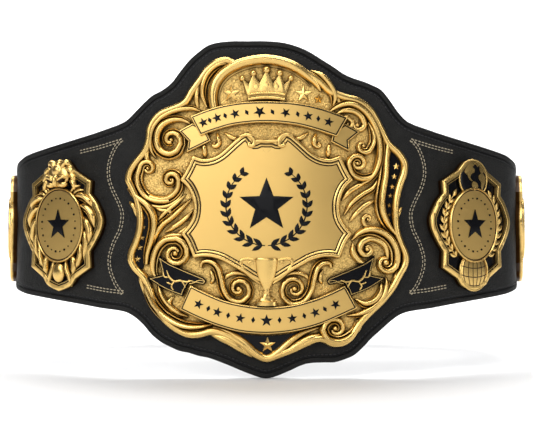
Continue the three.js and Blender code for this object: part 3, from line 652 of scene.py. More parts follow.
def moved_in(outline, distance):
    """A closed outline moved inwards."""
    turn = 1 if signed_area(outline) > 0 else -1
    count = len(outline)
    line = []
    for i, point in enumerate(outline):
        along = outline[(i + 1) % count] - outline[i - 1]
        line.append(point + Vector((-along.y, along.x)).normalized() * distance * turn)
    return line


def length_of(line):
    return sum((b - a).length for a, b in zip(line, line[1:]))


def meeting_point(a, ahead, b, back):
    """Where the line from a meets the line from b, or halfway if they hardly meet."""
    halfway = (a + b) / 2
    cross = ahead.x * back.y - ahead.y * back.x
    if abs(cross) < 0.02:
        return halfway
    reach = ((b.x - a.x) * back.y - (b.y - a.y) * back.x) / cross
    meet = a + ahead * reach
    return meet if (meet - halfway).length < 3 * (a - b).length + 0.1 * MM else halfway


def inset_places(outline, distance, wall):
    """Where an outline's points lie once it is moved in; those past a corner gather in it."""
    turn = 1 if signed_area(outline) > 0 else -1
    count = len(outline)
    ways = [(outline[(i + 1) % count] - p).normalized() for i, p in enumerate(outline)]
    moved = []
    free = []
    for i, point in enumerate(outline):
        inward = Vector((-ways[i - 1].y - ways[i].y, ways[i - 1].x + ways[i].x)) * turn
        inward.normalize()
        hollow = ways[i - 1].cross(ways[i]) * turn < 0
        lean = max(inward.dot(Vector((-ways[i].y, ways[i].x)) * turn), 0.85 if hollow else 0.2)
        place = point + inward * distance / lean
        moved.append(place)
        free.append(wall.find_nearest((place.x, place.y, 0))[3] > distance * 0.97)
    if not any(free):
        return moved
    i = free.index(True) + 1
    last = i + count
    while i < last:
        if free[i % count]:
            i += 1
            continue
        first = i
        while not free[i % count]:
            i += 1
        before, after = (first - 1) % count, i % count
        meet = meeting_point(moved[before], ways[before], moved[after], -ways[after - 1])
        for k in range(first, i):
            moved[k % count] = meet
    return moved


def wall_round(outline):
    """An upright wall along an outline, to measure distances from."""
    count = len(outline)
    corners = [(p.x, p.y, z) for z in (-1, 1) for p in outline]
    sides = [(i, (i + 1) % count, count + (i + 1) % count, count + i) for i in range(count)]
    return BVHTree.FromPolygons(corners, sides)


def raised(outline, base, wall, steps=(), into=None, face_finish=0):
    """A relief: an outline raised from base to wall, then inset and stepped.

    Each step is its inset, its level and the number of its finish."""
    bm = into or bmesh.new()
    number_layer = bm.verts.layers.int.get("number") or bm.verts.layers.int.new("number")
    face = bm.faces.new([bm.verts.new((p.x, p.y, base)) for p in outline])
    for i, vert in enumerate(face.verts):
        vert[number_layer] = i
    made = bmesh.ops.extrude_face_region(bm, geom=[face], use_keep_orig=True)["geom"]
    top = next(one for one in made if isinstance(one, bmesh.types.BMFace))
    bmesh.ops.translate(bm, verts=top.verts, vec=(0, 0, wall - base))
    around = wall_round(outline) if steps else None
    distance = 0
    for inset, height, number in steps:
        made = bmesh.ops.extrude_face_region(bm, geom=[top])["geom"]
        bmesh.ops.delete(bm, geom=[top], context="FACES_ONLY")
        top = next(one for one in made if isinstance(one, bmesh.types.BMFace))
        for edge in top.edges:
            for side in edge.link_faces:
                if side is not top:
                    side.material_index = number
        distance += inset
        places = inset_places(outline, distance, around)
        for vert in top.verts:
            vert.co = (*places[vert[number_layer]], height)
    top.material_index = face_finish
    if steps:
        bmesh.ops.remove_doubles(bm, verts=bm.verts, dist=0.004 * MM)
    return bm, top


def rounded(level, bevel):
    """Three steps that round a relief's upper edge, in its first finish."""
    return tuple(
        (bevel * inset, level - bevel * (1 - rise), 0)
        for inset, rise in ((0.15, 0.5), (0.3, 0.84), (0.55, 1.0))
    )


def lobes(*rows, valley=0.25, foot=-0.3, steps=6):
    """The cross section of a ridge: rounded lobes side by side, in half widths."""
    points = [(-1.0, foot)]
    for centre, half, height in rows:
        for k in range(steps + 1):
            angle = math.pi * (1 - k / steps)
            points.append((centre + half * math.cos(angle),
                           valley + (height - valley) * math.sin(angle)))
    return points + [(1.0, foot)]


PROFILES = {
    "ridge": lobes((0, 1, 1.5), steps=9),
    "double": lobes((-0.27, 0.7, 1.6), (0.72, 0.26, 0.95)),
    "triple": lobes((-0.79, 0.2, 0.95), (0, 0.56, 1.6), (0.79, 0.2, 0.95)),
    "line": lobes((0, 1, 1.0), steps=4),
    "bead": lobes((0, 1, 1.0), valley=0.1, steps=8),
}


def sweep(lines, profile, into=None, level=FIELD):
    """Ridges of one cross section, each along a line of (points, radii, closed)."""
    section = bpy.data.curves.new("section", "CURVE")
    section.dimensions = "2D"
    spline = section.splines.new("POLY")
    spline.points.add(len(PROFILES[profile]) - 1)
    for point, (x, y) in zip(spline.points, PROFILES[profile]):
        point.co = (x, y, 0, 1)
    spline.use_cyclic_u = True
    section_object = bpy.data.objects.new("section", section)
    path = bpy.data.curves.new("path", "CURVE")
    path.dimensions = "2D"
    path.fill_mode = "NONE"
    path.bevel_mode = "OBJECT"
    path.bevel_object = section_object
    path.use_fill_caps = True
    for points, radii, closed in lines:
        spline = path.splines.new("POLY")
        spline.points.add(len(points) - 1)
        for point, place, radius in zip(spline.points, points, radii):
            point.co = (place.x, place.y, 0, 1)
            point.radius = radius
        spline.use_cyclic_u = closed
    path_object = bpy.data.objects.new("path", path)
    for one in (section_object, path_object):
        bpy.context.scene.collection.objects.link(one)
    ready = path_object.evaluated_get(bpy.context.evaluated_depsgraph_get())
    mesh = bpy.data.meshes.new_from_object(ready)
    mesh.transform(Matrix.Translation((0, 0, level)))
    bm = into or bmesh.new()
    bm.from_mesh(mesh)
    bmesh.ops.remove_doubles(bm, verts=bm.verts, dist=0.002 * MM)
    bpy.data.objects.remove(path_object)
    bpy.data.objects.remove(section_object)
    bpy.data.meshes.remove(mesh)
    return bm


def swell(count, half_width, start, end, share=0.35):
    """Radii along a line: its full half width in the middle, and shares of it at the ends."""
    def ease(t):
        t = min(max(t, 0.0), 1.0)
        return math.sin(t * math.pi / 2)
    radii = []
    for i in range(count):
        t = i / (count - 1)
        first = start + (1 - start) * ease(t / share)
        last = end + (1 - end) * ease((1 - t) / share)
        radii.append(half_width * min(first, last))
    return radii


def wind(points, centre, turns, end_radius):
    """Points of a spiral that goes on from a line's last point and winds in to its eye."""
    spoke = points[-1] - centre
    angle, radius = math.atan2(spoke.y, spoke.x), spoke.length
    count = max(6, round(abs(turns) * 12))
    for i in range(1, count + 1):
        t = i / count
        reach = radius + (end_radius - radius) * t ** 0.85
        turned = angle + 2 * math.pi * turns * t
        points.append(centre + Vector((math.cos(turned), math.sin(turned))) * reach)
    return points


def knob(bm, place, radius, low, height):
    """A rounded knob or pearl, as part of a relief."""
    made = bmesh.ops.create_uvsphere(bm, u_segments=14, v_segments=10, radius=radius)
    grow = Matrix.Diagonal((1, 1, height / radius, 1))
    bmesh.ops.transform(bm, matrix=grow, verts=made["verts"])
    bmesh.ops.translate(bm, verts=made["verts"], vec=(place.x, place.y, low))


# From a drawing to a finished piece

SLICE = 5 * MM
UPRIGHT_SLICE = 9 * MM


def slice_along(bm, step=SLICE, upright=False):
    """Cut a drawing's wide faces at even places along or up the strap, so that they bend."""
    way = Vector((0, 1, 0)) if upright else Vector((1, 0, 0))
    reaches = [v.co.dot(way) for v in bm.verts]
    for number in range(math.floor(min(reaches) / step) + 1, math.ceil(max(reaches) / step)):
        geometry = bm.verts[:] + bm.edges[:] + bm.faces[:]
        bmesh.ops.bisect_plane(bm, geom=geometry, dist=0.001 * MM,
                               plane_co=way * number * step, plane_no=way)


def roll(bm, along=0.0, up=0.0, lift=None):
    """Bend a drawing onto the strap, and keep each point's relief in millimetres."""
    relief = bm.verts.layers.float.get("relief") or bm.verts.layers.float.new("relief")
    for vert in bm.verts:
        x, y, z = vert.co
        vert[relief] = (z - FIELD) / MM
        rise = lift(x + along) if lift else 0
        vert.co = rolled(x + along, y + up, z + rise)


def piece(name, bm, finishes, replaces=(), angle=38):
    """Turn a bmesh into a finished object that rides on the belt."""
    bmesh.ops.remove_doubles(bm, verts=bm.verts, dist=0.001 * MM)
    bmesh.ops.recalc_face_normals(bm, faces=bm.faces)
    mesh = bpy.data.meshes.new(name)
    bm.to_mesh(mesh)
    bm.free()
    made = bpy.data.objects.new(name, mesh)
    bpy.context.scene.collection.objects.link(made)
    for one in finishes:
        mesh.materials.append(finish(one))
    mesh.shade_smooth()
    mesh.set_sharp_from_angle(angle=math.radians(angle))
    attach(made, "root")
    if replaces:
        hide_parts(*replaces)
    return made


def on_front(name, bm, finishes=("gilt",), replaces=(), cut=True, angle=38):
    """Place a drawing on the front plate."""
    if cut:
        slice_along(bm)
        slice_along(bm, UPRIGHT_SLICE, upright=True)
    roll(bm, 0, PLATE_RISE)
    return piece(name, bm, finishes, replaces, angle)


# Strap: shares of the front plate's half width, and of the strap's height above and below
EDGE_ROWS = (
    # along, top left, top right, bottom left, bottom right
    (0.00, 1.00, 1.00, 1.00, 1.00),
    (0.13, 1.00, 0.99, 0.966, 0.962),
    (0.27, 1.00, 0.955, 0.912, 0.906),
    (0.40, 0.983, 0.896, 0.868, 0.898),
    (0.47, 0.948, 0.863, 0.856, 0.898),
    (0.54, 0.902, 0.827, 0.837, 0.880),
    (0.61, 0.837, 0.804, 0.824, 0.853),
    (0.67, 0.778, 0.791, 0.800, 0.805),
    (0.74, 0.739, 0.771, 0.768, 0.739),
    (0.81, 0.712, 0.745, 0.716, 0.684),
    (0.87, 0.673, 0.693, 0.653, 0.636),
    (0.94, 0.621, 0.621, 0.600, 0.592),
    (1.01, 0.575, 0.573, 0.571, 0.571),
)
# Shares of the way from the plate's edge to the back, and of the step down to the back
TAPER_ROWS = (
    (0.045, 0.05), (0.08, 0.17), (0.125, 0.30), (0.17, 0.42), (0.22, 0.56), (0.24, 0.65),
    (0.27, 0.76), (0.31, 0.86), (0.36, 0.92), (0.45, 0.96), (0.60, 1.00), (0.80, 1.00),
)
STRAP_LOW, STRAP_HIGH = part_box("strap")
FRONT_TOP = STRAP_HIGH.z
FRONT_BOTTOM = -STRAP_LOW.z
SIDE_TOP = 83 * MM
SIDE_BOTTOM = 70 * MM
BACK_TOP = 52 * MM
BACK_BOTTOM = 52 * MM
STRAP_END = HALF + OVERLAP / 2
# Where the left end starts to rise and where it lies flat again, in overlaps from the back
LIFT_REACH = (1.6, 0.7)


def strap_edge(side, top):
    """One quarter of the strap's edge, from the front centre to the corner at its end."""
    front, near, far = (FRONT_TOP, SIDE_TOP, BACK_TOP) if top else (
        -FRONT_BOTTOM, -SIDE_BOTTOM, -BACK_BOTTOM)
    column = (1 if side < 0 else 2) + (0 if top else 2)
    plate_half = PLATE_WIDTH / 2
    behind = HALF - plate_half
    line = [Vector((side * row[0] * plate_half, front * row[column])) for row in EDGE_ROWS]
    line += [Vector((side * (plate_half + along * behind), near + (far - near) * fall))
             for along, fall in TAPER_ROWS]
    line.append(Vector((side * (STRAP_END - END_RADIUS), far)))
    return line


def strap_corner(side, top):
    """The rounded corner at one end, from the long edge to the end."""
    height = BACK_TOP if top else -BACK_BOTTOM
    turn = 1 if top else -1
    corner = []
    for k in range(1, 6):
        angle = math.radians(18 * k)
        corner.append(Vector((side * (STRAP_END - END_RADIUS * (1 - math.sin(angle))),
                              height - turn * END_RADIUS * (1 - math.cos(angle)))))
    return corner


def strap_outline():
    upper = [*strap_edge(-1, True)[::-1], *strap_edge(1, True)[1:]]
    lower = [*strap_edge(1, False)[::-1], *strap_edge(-1, False)[1:]]
    outline = smooth(upper, steps=3)
    outline += strap_corner(1, True) + strap_corner(1, False)[::-1]
    outline += smooth(lower, steps=3)
    outline += strap_corner(-1, False) + strap_corner(-1, True)[::-1]
    return outline


def strap_lift(along):
    """How far the left end rides up over the right end at the back."""
    start, end = (HALF - OVERLAP * reach for reach in LIFT_REACH)
    t = min(max((-along - start) / (end - start), 0), 1)
    return (STRAP_THICKNESS + GAP) * t * t * (3 - 2 * t)


def make_strap():
    size = sizes()
    rise = size.border_rise
    middle = -STRAP_THICKNESS / 2
    floor = -0.35 * MM
    bm, _ = raised(strap_outline(), -STRAP_THICKNESS, middle - 0.35 * MM, (
        (0.4 * MM, middle - 0.1 * MM, 1),
        (0.01 * MM, middle + 0.1 * MM, 1),
        (-0.4 * MM, middle + 0.35 * MM, 1),
        (0.01 * MM, -0.4 * MM, 1),
        (0.25 * MM, rise * 0.45, 0),
        (0.5 * MM, rise * 0.85, 0),
        (0.9 * MM, rise, 0),
        (size.border - 2.6 * MM, rise, 0),
        (0.6 * MM, rise * 0.7, 0),
        (0.35 * MM, floor, 1),
        (size.groove, floor, 1),
        (0.35 * MM, 0.2 * MM, 0),
        (1.1 * MM, 0.45 * MM, 0),
        (2.4 * MM, 0.2 * MM, 0),
    ))
    slice_along(bm, 6 * MM)
    roll(bm, lift=strap_lift)
    piece("leather_strap", bm, ("strap_leather", "edge_paint"), ("strap",), 50)


# Rows of cream stitching on the strap's face, on the left; the right is the same
WAVY_ROW = (
    (-122.1, 73.2), (-128.7, 66.6), (-134.6, 54.0), (-135.5, 42.9), (-132.2, 32.4),
    (-125.1, 19.3), (-122.1, 10.7), (-123.8, -2.1), (-130.4, -14.7), (-134.3, -27.3),
    (-133.1, -37.5), (-126.9, -50.2), (-121.1, -56.9),
)
TOP_ROW = ((-167.2, 64.2), (-143.4, 67.7), (-122.0, 72.3))
BOTTOM_ROW = ((-158.8, -51.0), (-139.0, -53.6), (-120.2, -55.2))
ROW_SPACING = 2.3 * MM
# Half a stitch's visible length, as a share of the pitch
STITCH_HALF = 0.27


def stitch_places(line, pitch, closed=False):
    """Even places along a line, each with the line's direction there."""
    if closed:
        line = line + line[:1]
    count = max(1, round(length_of(line) / pitch))
    step = length_of(line) / count
    places = []
    walked = 0.0
    wanted = step / 2
    for a, b in zip(line, line[1:]):
        reach = (b - a).length
        while reach > 0 and wanted <= walked + reach:
            places.append((a + (b - a) * ((wanted - walked) / reach), (b - a) / reach))
            wanted += step
        walked += reach
    return places


def stitches(name, places, level, thread, material, lift=None):
    """Stitches that dip into the leather at both ends, made as one mesh."""
    curve = bpy.data.curves.new("thread", "CURVE")
    curve.dimensions = "3D"
    curve.bevel_depth = thread
    curve.bevel_resolution = 1
    curve.use_fill_caps = True
    half = sizes().stitch * STITCH_HALF
    for place, direction in places:
        spline = curve.splines.new("POLY")
        spline.points.add(4)
        for point, (share, drop) in zip(spline.points, (
                (-1, 0.9), (-0.75, 0.25), (0, 0), (0.75, 0.25), (1, 0.9))):
            spot = place + direction * half * share
            point.co = (spot.x, spot.y, level - drop * thread * 1.6, 1)
    made = bpy.data.objects.new("thread", curve)
    bpy.context.scene.collection.objects.link(made)
    ready = made.evaluated_get(bpy.context.evaluated_depsgraph_get())
    mesh = bpy.data.meshes.new_from_object(ready)
    bm = bmesh.new()
    bm.from_mesh(mesh)
    bmesh.ops.remove_doubles(bm, verts=bm.verts, dist=0.001 * MM)
    bpy.data.objects.remove(made)
    bpy.data.meshes.remove(mesh)
    roll(bm, lift=lift)
    piece(name, bm, (material,), angle=60)


def make_stitching():
    size = sizes()
    edge = moved_in(strap_outline(), size.border + size.groove / 2 + 1.0 * MM)
    stitches("edge_stitching", stitch_places(edge, size.stitch, closed=True),
             -0.3 * MM + size.thread * 1.4, size.thread * 1.15, "black_thread", strap_lift)
    places = []
    for row in (WAVY_ROW, TOP_ROW, BOTTOM_ROW):
        points = smooth([Vector((x * MM, y * MM)) for x, y in row], steps=8)
        for spread in (-0.5, 0.5):
            line = []
            for i, point in enumerate(points):
                along = points[min(i + 1, len(points) - 1)] - points[max(i - 1, 0)]
                across = Vector((-along.y, along.x)).normalized()
                line.append(point + across * ROW_SPACING * spread)
            places += stitch_places(line, size.stitch)
    places += [(Vector((-p.x, p.y)), Vector((-d.x, d.y))) for p, d in places]
    stitches("cream_stitching", places, 0.15 * MM + size.thread, size.thread, "cream_thread")


# Front plate: its outline, from the top clockwise
MAIN_OUTLINE = (
    (0, 154), (19, 151), (37, 143), (54, 133), (66, 122), (79, 117), (94, 113), (106, 104),
    (114, 92), (120, 80), (126, 69), (136, 60), (143, 49), (143, 37), (138, 23), (134.7, 9),
    (133.7, -5), (135, -22), (139, -34), (144, -46), (143, -58), (137, -69), (129, -83),
    (118, -96), (105, -108), (94, -120), (87, -131), (77, -138), (65, -139), (53, -134),
    (39, -139), (26, -145), (13, -150), (0, -154), (-13, -149), (-26, -139), (-40, -131),
    (-53, -127), (-66, -130), (-78, -130), (-90, -125), (-101, -117), (-109, -108), (-116, -96),
    (-121, -82), (-126, -72), (-134, -64), (-140, -54), (-140, -44), (-135, -32), (-131.5, -20),
    (-131, -5), (-134, 9), (-139, 20), (-143.5, 30), (-141, 41), (-134, 51), (-126, 61),
    (-122.5, 71), (-121, 83), (-115, 94), (-106, 101.5), (-94, 106), (-84, 111), (-78, 121),
    (-70, 132), (-62, 143), (-52, 151), (-40, 154), (-29, 150), (-16, 153),
)


def plate_outline():
    return smooth(grid(*MAIN_OUTLINE), closed=True, steps=4)


def make_front_plate():
    outline = plate_outline()
    bm, _ = raised(outline, GAP, FIELD - 0.2 * MM, ((0.2 * MM, FIELD, 0),), face_finish=1)
    on_front("front_plate", bm, ("gilt", "gilt_field"), replaces=("main_plate",))
    half = sizes().rim / 2
    line = moved_in(outline, half)
    bm = sweep([(line, [half] * len(line), True)], "ridge")
    on_front("front_rim", bm, cut=False, angle=60)


# Scrollwork: cross section, width, share of the width at the start and at the end, and the
# line in grid units; where it winds into a scroll, the eye, the turns and the knob's radius
Strand = namedtuple("Strand", "profile width start end line eye turns knob",
                    defaults=(None, 0, 0))

ARCH = (
    Strand("ridge", 8.5, 0.8, 0.2, (
        (-52, 101), (-53.5, 113), (-51, 126), (-43, 137), (-31, 144.5), (-16, 149), (0, 150.5),
        (17, 147.5), (31, 141.5), (42, 133.5), (50, 126), (54, 119))),
    Strand("line", 2.4, 0.6, 0.6, (
        (-46.5, 104), (-47.5, 115), (-44.5, 125), (-37, 134), (-26, 140), (-13, 144), (0, 145),
        (15, 142.5), (27, 137.5), (37, 130.5), (44, 123.5))),
    Strand("double", 6, 0.4, 0.2, (
        (-59, 103), (-63, 115), (-62, 127), (-57, 137), (-49, 144), (-41, 145.5), (-37, 142))),
    Strand("line", 2.6, 0.2, 0.2, ((-57, 112), (-57.5, 122), (-54, 131), (-48, 138))),
    Strand("ridge", 4.5, 0.2, 0.3, ((-90, 101), (-81, 108), (-73, 119), (-67, 130))),
    Strand("ridge", 4, 0.2, 0.3, ((-68, 100), (-70, 112), (-68, 124), (-64, 135))),
    Strand("double", 7, 0.2, 0.2, ((44, 140), (54, 134), (62, 125), (67, 114), (66, 103))),
    Strand("ridge", 3.4, 0.2, 0.2, ((66, 122), (71, 113), (73, 104))),
)
LEFT_SCROLLS = (
    Strand("double", 6.5, 0.3, 0.15, (
        (-64, 98), (-73, 102), (-85, 102), (-97, 99), (-108, 92), (-115, 82), (-117.5, 70),
        (-116, 59), (-111, 51))),
    Strand("double", 8, 0.35, 0.55, (
        (-76, 87), (-85, 91), (-95, 91), (-104, 87), (-110, 78.5), (-111, 68), (-107, 59),
        (-98, 54.5), (-89, 57.5), (-84.5, 65.5)), (-95.5, 70), 0.85, 2.6),
    Strand("ridge", 4.5, 0.2, 0.2, ((-118, 64), (-121, 56), (-120, 50), (-114, 44))),
    Strand("double", 6.5, 0.9, 0.5, (
        (-97, 9.5), (-107, 9), (-119, 12.5), (-126.5, 22), (-129, 32), (-127, 40)),
        (-119.5, 41.5), -0.95, 2.4),
    Strand("double", 6.5, 0.9, 0.5, (
        (-117, 11.5), (-107, 9), (-96, 11), (-88, 19), (-86, 29)), (-95.5, 29.5), 1.1, 2.4),
    Strand("ridge", 3.4, 0.2, 0.2, (
        (-134, 28), (-131, 17), (-122, 7), (-110, 2.5), (-98, 3.5), (-88, 10), (-82, 20))),
    Strand("ridge", 3.2, 0.3, 0.5, ((-115, 3), (-106, -1), (-98, -1.5)), (-98.5, -6), -0.7, 1.5),
    Strand("double", 6, 0.2, 0.3, (
        (-75, 10), (-84, 2), (-95, -8), (-106, -17), (-112, -28), (-114, -40))),
    Strand("ridge", 4.2, 0.2, 0.25, ((-72.5, -1), (-81, -10), (-92, -18), (-102, -24))),
    Strand("ridge", 3.6, 0.2, 0.2, ((-80, 15), (-91, 5), (-103, -5), (-111, -14))),
    Strand("ridge", 3.4, 0.2, 0.2, ((-76, -16), (-83, -22), (-91, -26))),
    Strand("double", 7.5, 0.25, 0.5, (
        (-108, -74), (-112, -64), (-112, -52), (-108, -40), (-100, -32.5), (-89, -31)),
        (-91, -45), -1.15, 3.2),
    Strand("ridge", 4, 0.2, 0.3, ((-78, -26), (-86, -27), (-96, -27), (-104, -31), (-110, -40))),
    Strand("triple", 9, 0.3, 0.35, (
        (-122, -66), (-120, -80), (-114, -93), (-105, -104.5), (-93, -113), (-80, -118),
        (-66, -118.5), (-54, -116))),
    Strand("double", 5.5, 0.25, 0.3, (
        (-109, -76), (-106, -86), (-99, -97), (-89, -105), (-78, -109))),
    Strand("ridge", 4, 0.3, 0.3, ((-92, -88), (-97, -94), (-95, -101), (-88, -106))),
    Strand("ridge", 4, 0.2, 0.2, ((-128, -62), (-126, -73), (-121, -86), (-113, -99))),
    Strand("ridge", 4.5, 0.3, 0.2, ((-100, -114), (-90, -119.5), (-78, -123.5), (-64, -124))),
    Strand("double", 8, 0.4, 0.5, (
        (-140, 22), (-131, 12), (-121, 4), (-114.5, -6), (-113.5, -18), (-116, -31),
        (-119.5, -44), (-121, -56))),
    Strand("ridge", 4, 0.3, 0.3, ((-139, 8), (-133, 1), (-131, -8))),
)
RIGHT_SCROLLS = (
    Strand("double", 7.5, 0.3, 0.3, (
        (92, 24), (101, 27.5), (109, 36), (113.5, 48), (114.5, 63), (112.5, 76), (108.5, 87),
        (102, 97), (94, 104), (85, 107.5), (76, 106.5), (67, 102), (61, 96))),
    Strand("ridge", 5, 0.3, 0.5, (
        (69, 95), (77, 99.5), (87, 99.5), (95, 94), (98.5, 86)), (91, 85), -0.55, 2.4),
    Strand("ridge", 3.6, 0.3, 0.5, ((73, 91), (80, 93), (86, 89)), (81, 85.5), -0.5, 1.8),
    Strand("double", 6, 0.3, 0.5, (
        (102, 88), (106, 78), (106.5, 68), (102, 59)), (97, 64), -0.65, 2.4),
    Strand("double", 6.5, 0.3, 0.5, (
        (112, 42), (106, 34.5), (96, 31.5), (86.5, 35.5), (82.5, 45)), (91, 46), -1.1, 2.6),
    Strand("double", 5.5, 0.25, 0.25, ((77, -7), (85, 5), (96, 14), (107, 21), (112, 30))),
    Strand("ridge", 4.2, 0.2, 0.25, ((75, 8), (82, 17), (91, 23), (100, 27))),
    Strand("ridge", 4, 0.2, 0.2, ((82, -14), (91, -3), (101, 5), (110, 9))),
    Strand("ridge", 3.5, 0.5, 0.5, (
        (124, -31), (115, -23.5), (106, -19.5), (99, -17), (96.5, -12)), (101.5, -10.5), -0.8, 1.7),
    Strand("double", 8.5, 0.25, 0.5, (
        (85, -32), (93, -25), (104, -22), (115, -25), (124, -32.5), (129, -43), (129.5, -53)),
        (119.5, -54.5), -0.8, 4),
    Strand("ridge", 5, 0.3, 0.5, (
        (121, -55), (121.5, -46), (119, -37.5), (112, -32), (103, -30), (95.5, -33.5)),
        (100.5, -41), 1.0, 2.6),
    Strand("ridge", 5, 0.2, 0.2, ((86, -34), (86.5, -44), (92, -52), (101, -56.5))),
    Strand("double", 7, 0.2, 0.3, (
        (88, -91), (98, -96.5), (108, -93.5), (114.5, -85), (115.5, -75))),
    Strand("double", 6.5, 0.25, 0.2, (
        (80, -108), (93, -106.5), (107, -100), (117, -89.5), (121, -77), (120, -69))),
    Strand("ridge", 4.2, 0.2, 0.2, ((118, -93), (125, -82), (130, -70), (132, -60))),
    Strand("double", 7.5, 0.3, 0.5, (
        (90, -112), (87, -122), (79, -129.5), (69.5, -132), (60.5, -129), (56.5, -121.5)),
        (68, -120.5), -0.95, 3),
    Strand("ridge", 4, 0.2, 0.2, ((98, -108), (93, -118), (88, -127))),
    Strand("double", 8.5, 0.6, 0.45, (
        (121, 66), (119, 50), (117.5, 34), (115, 20), (113.5, 6), (115.5, -6), (122, -18),
        (132, -29))),
    Strand("ridge", 4, 0.3, 0.3, ((137, 2), (131.5, -8), (131, -18))),
    Strand("ridge", 4, 0.2, 0.2, ((126, 66), (122.5, 56), (121.5, 44), (119.5, 32))),
)
# On both sides alike: round the cup, at the foot and under the ribbon
PAIRED_SCROLLS = (
    Strand("double", 6.5, 0.5, 0.5, (
        (64.5, -59), (63, -54.5), (56, -54), (49.5, -59), (46, -69), (43, -82), (36, -92),
        (25, -94.5), (17, -88)), (27.5, -80.5), -1.1, 3),
    Strand("ridge", 3.5, 0.2, 0.2, ((17, -68), (28, -64.5), (38, -67), (43, -73))),
    Strand("ridge", 3.5, 0.2, 0.2, ((56, -61), (53, -70), (55, -76))),
    Strand("ridge", 6.4, 0.3, 0.2, ((55, -126), (42, -130.5), (29, -137.5), (14, -148.5))),
    Strand("ridge", 4, 0.4, 0.5, ((49, 76), (47, 67)), (52, 66), 0.5, 1.8),
    Strand("ridge", 3.6, 0.3, 0.2, ((42, 77), (33, 71), (27, 70))),
    Strand("ridge", 4, 0.3, 0.4, ((62.5, 66), (61, 52))),
)
FOOT_BAND = Strand("ridge", 6, 0.3, 0.3, (
    (-53, -119), (-37, -124), (-23, -133), (-10, -144.5), (0, -149.5), (10, -144.5), (23, -133),
    (37, -124), (53, -119)))
SCROLL_FULLNESS = 1.3


def strand_line(strand):
    """A strand's line and radii, with its spiral wound on."""
    points = grid(*strand.line)
    half = strand.width * UNIT * SCROLL_FULLNESS / 2
    line = smooth(points, steps=6)
    if strand.eye:
        end = max(strand.knob * UNIT * 0.9, half * 0.6)
        line = wind(line, grid(strand.eye)[0], strand.turns, end)
    return line, swell(len(line), half, strand.start, strand.end), False


def scrollwork(name, strands, flip=False):
    """Many strands and the knobs in their eyes, as one casting."""
    bm = bmesh.new()
    for profile in PROFILES:
        lines = [strand_line(one) for one in strands if one.profile == profile]
        if flip:
            lines += [(flipped(points), radii, closed) for points, radii, closed in lines]
        if lines:
            sweep(lines, profile, into=bm)
    for one in strands:
        if one.knob:
            for side in ((1, -1) if flip else (1,)):
                x, y = one.eye
                knob(bm, grid((side * x, y))[0], one.knob * UNIT, FIELD, one.knob * UNIT * 1.5)
    on_front(name, bm, cut=False, angle=55)


def make_scrollwork():
    scrollwork("arch_scrolls", ARCH)
    scrollwork("left_scrolls", LEFT_SCROLLS)
    scrollwork("right_scrolls", RIGHT_SCROLLS)
    scrollwork("paired_scrolls", PAIRED_SCROLLS, flip=True)
    scrollwork("foot_band", (FOOT_BAND,))


# Centre panel: the right half of its outline, as stretches between corners
PANEL_HALF = (
    ((0, 69), (7, 69), (11, 67.5), (14, 71), (18, 75.5), (23, 75), (31, 69), (38, 62.5),
     (46, 55.5), (54, 51.5), (63, 50.5), (73, 54)),
    ((73, 54), (77, 45), (81.5, 36), (86, 29)),
    ((86, 29), (78.5, 22), (74, 13), (72, 3), (73.5, -9), (78, -17), (85, -25)),
    ((85, -25), (79.5, -32), (75.5, -41), (72, -50)),
    ((72, -50), (63, -48.5), (54, -49), (44, -52), (34, -57.5), (23, -64), (8, -73), (0, -74)),
)
# Curls where the panel's frame dips at the top: width and line
PANEL_CURLS = (
    (4.2, ((26, 72.5), (20, 74), (14.5, 72), (12, 67.5), (13.5, 63), (17, 63.5), (16.5, 66.5))),
    (3.4, ((12, 67), (8.5, 67.5), (0, 67.5))),
)


def panel_outline():
    return outline_of(*mirrored(*[grid(*points) for points in PANEL_HALF]))


def make_centre_panel():
    edge, face = PANEL_EDGE, PANEL_FACE
    bm, _ = raised(panel_outline(), SEAT, edge - 1.9 * MM, (
        (0.25 * MM, edge - 1.0 * MM, 0),
        (0.45 * MM, edge - 0.3 * MM, 0),
        (0.80 * MM, edge, 0),
        (0.90 * MM, edge - 0.05 * MM, 0),
        (0.55 * MM, edge - 0.4 * MM, 0),
        (0.35 * MM, edge - 1.2 * MM, 2),
        (0.35 * MM, edge - 1.2 * MM, 2),
        (0.35 * MM, face + 0.8 * MM, 0),
        (0.65 * MM, face + 0.95 * MM, 0),
        (0.65 * MM, face + 0.6 * MM, 0),
        (0.30 * MM, face - 0.3 * MM, 2),
        (0.55 * MM, face - 0.3 * MM, 2),
        (0.20 * MM, face, 0),
    ), face_finish=1)
    on_front("centre_panel_face", bm, ("gilt", "gilt_satin", "antique_line"),
             replaces=("centre_panel",))
    lines = []
    for side in (-1, 1):
        for width, points in PANEL_CURLS:
            line = smooth([Vector((side * p.x, p.y)) for p in grid(*points)], steps=5)
            lines.append((line, swell(len(line), width * UNIT / 2, 0.6, 0.7), False))
    bm = sweep(lines, "bead", level=edge - 0.4 * MM)
    on_front("panel_curls", bm, cut=False, angle=60)


def star_points(centre, radius, waist=0.42, turn=0.0):
    points = []
    for i in range(10):
        angle = math.radians(90 + 36 * i) + turn
        reach = radius * (waist if i % 2 else 1)
        points.append(centre + Vector((math.cos(angle), math.sin(angle))) * reach)
    return points


def faceted_star(bm, centre, radius, low, high, turn=0.0):
    """A star whose ten facets rise to its middle."""
    _, top = raised(star_points(centre, radius, 0.40, turn), low, low + (high - low) * 0.35,
                    into=bm)
    poked = bmesh.ops.poke(bm, faces=[top])
    bmesh.ops.translate(bm, verts=poked["verts"], vec=(0, 0, (high - low) * 0.65))


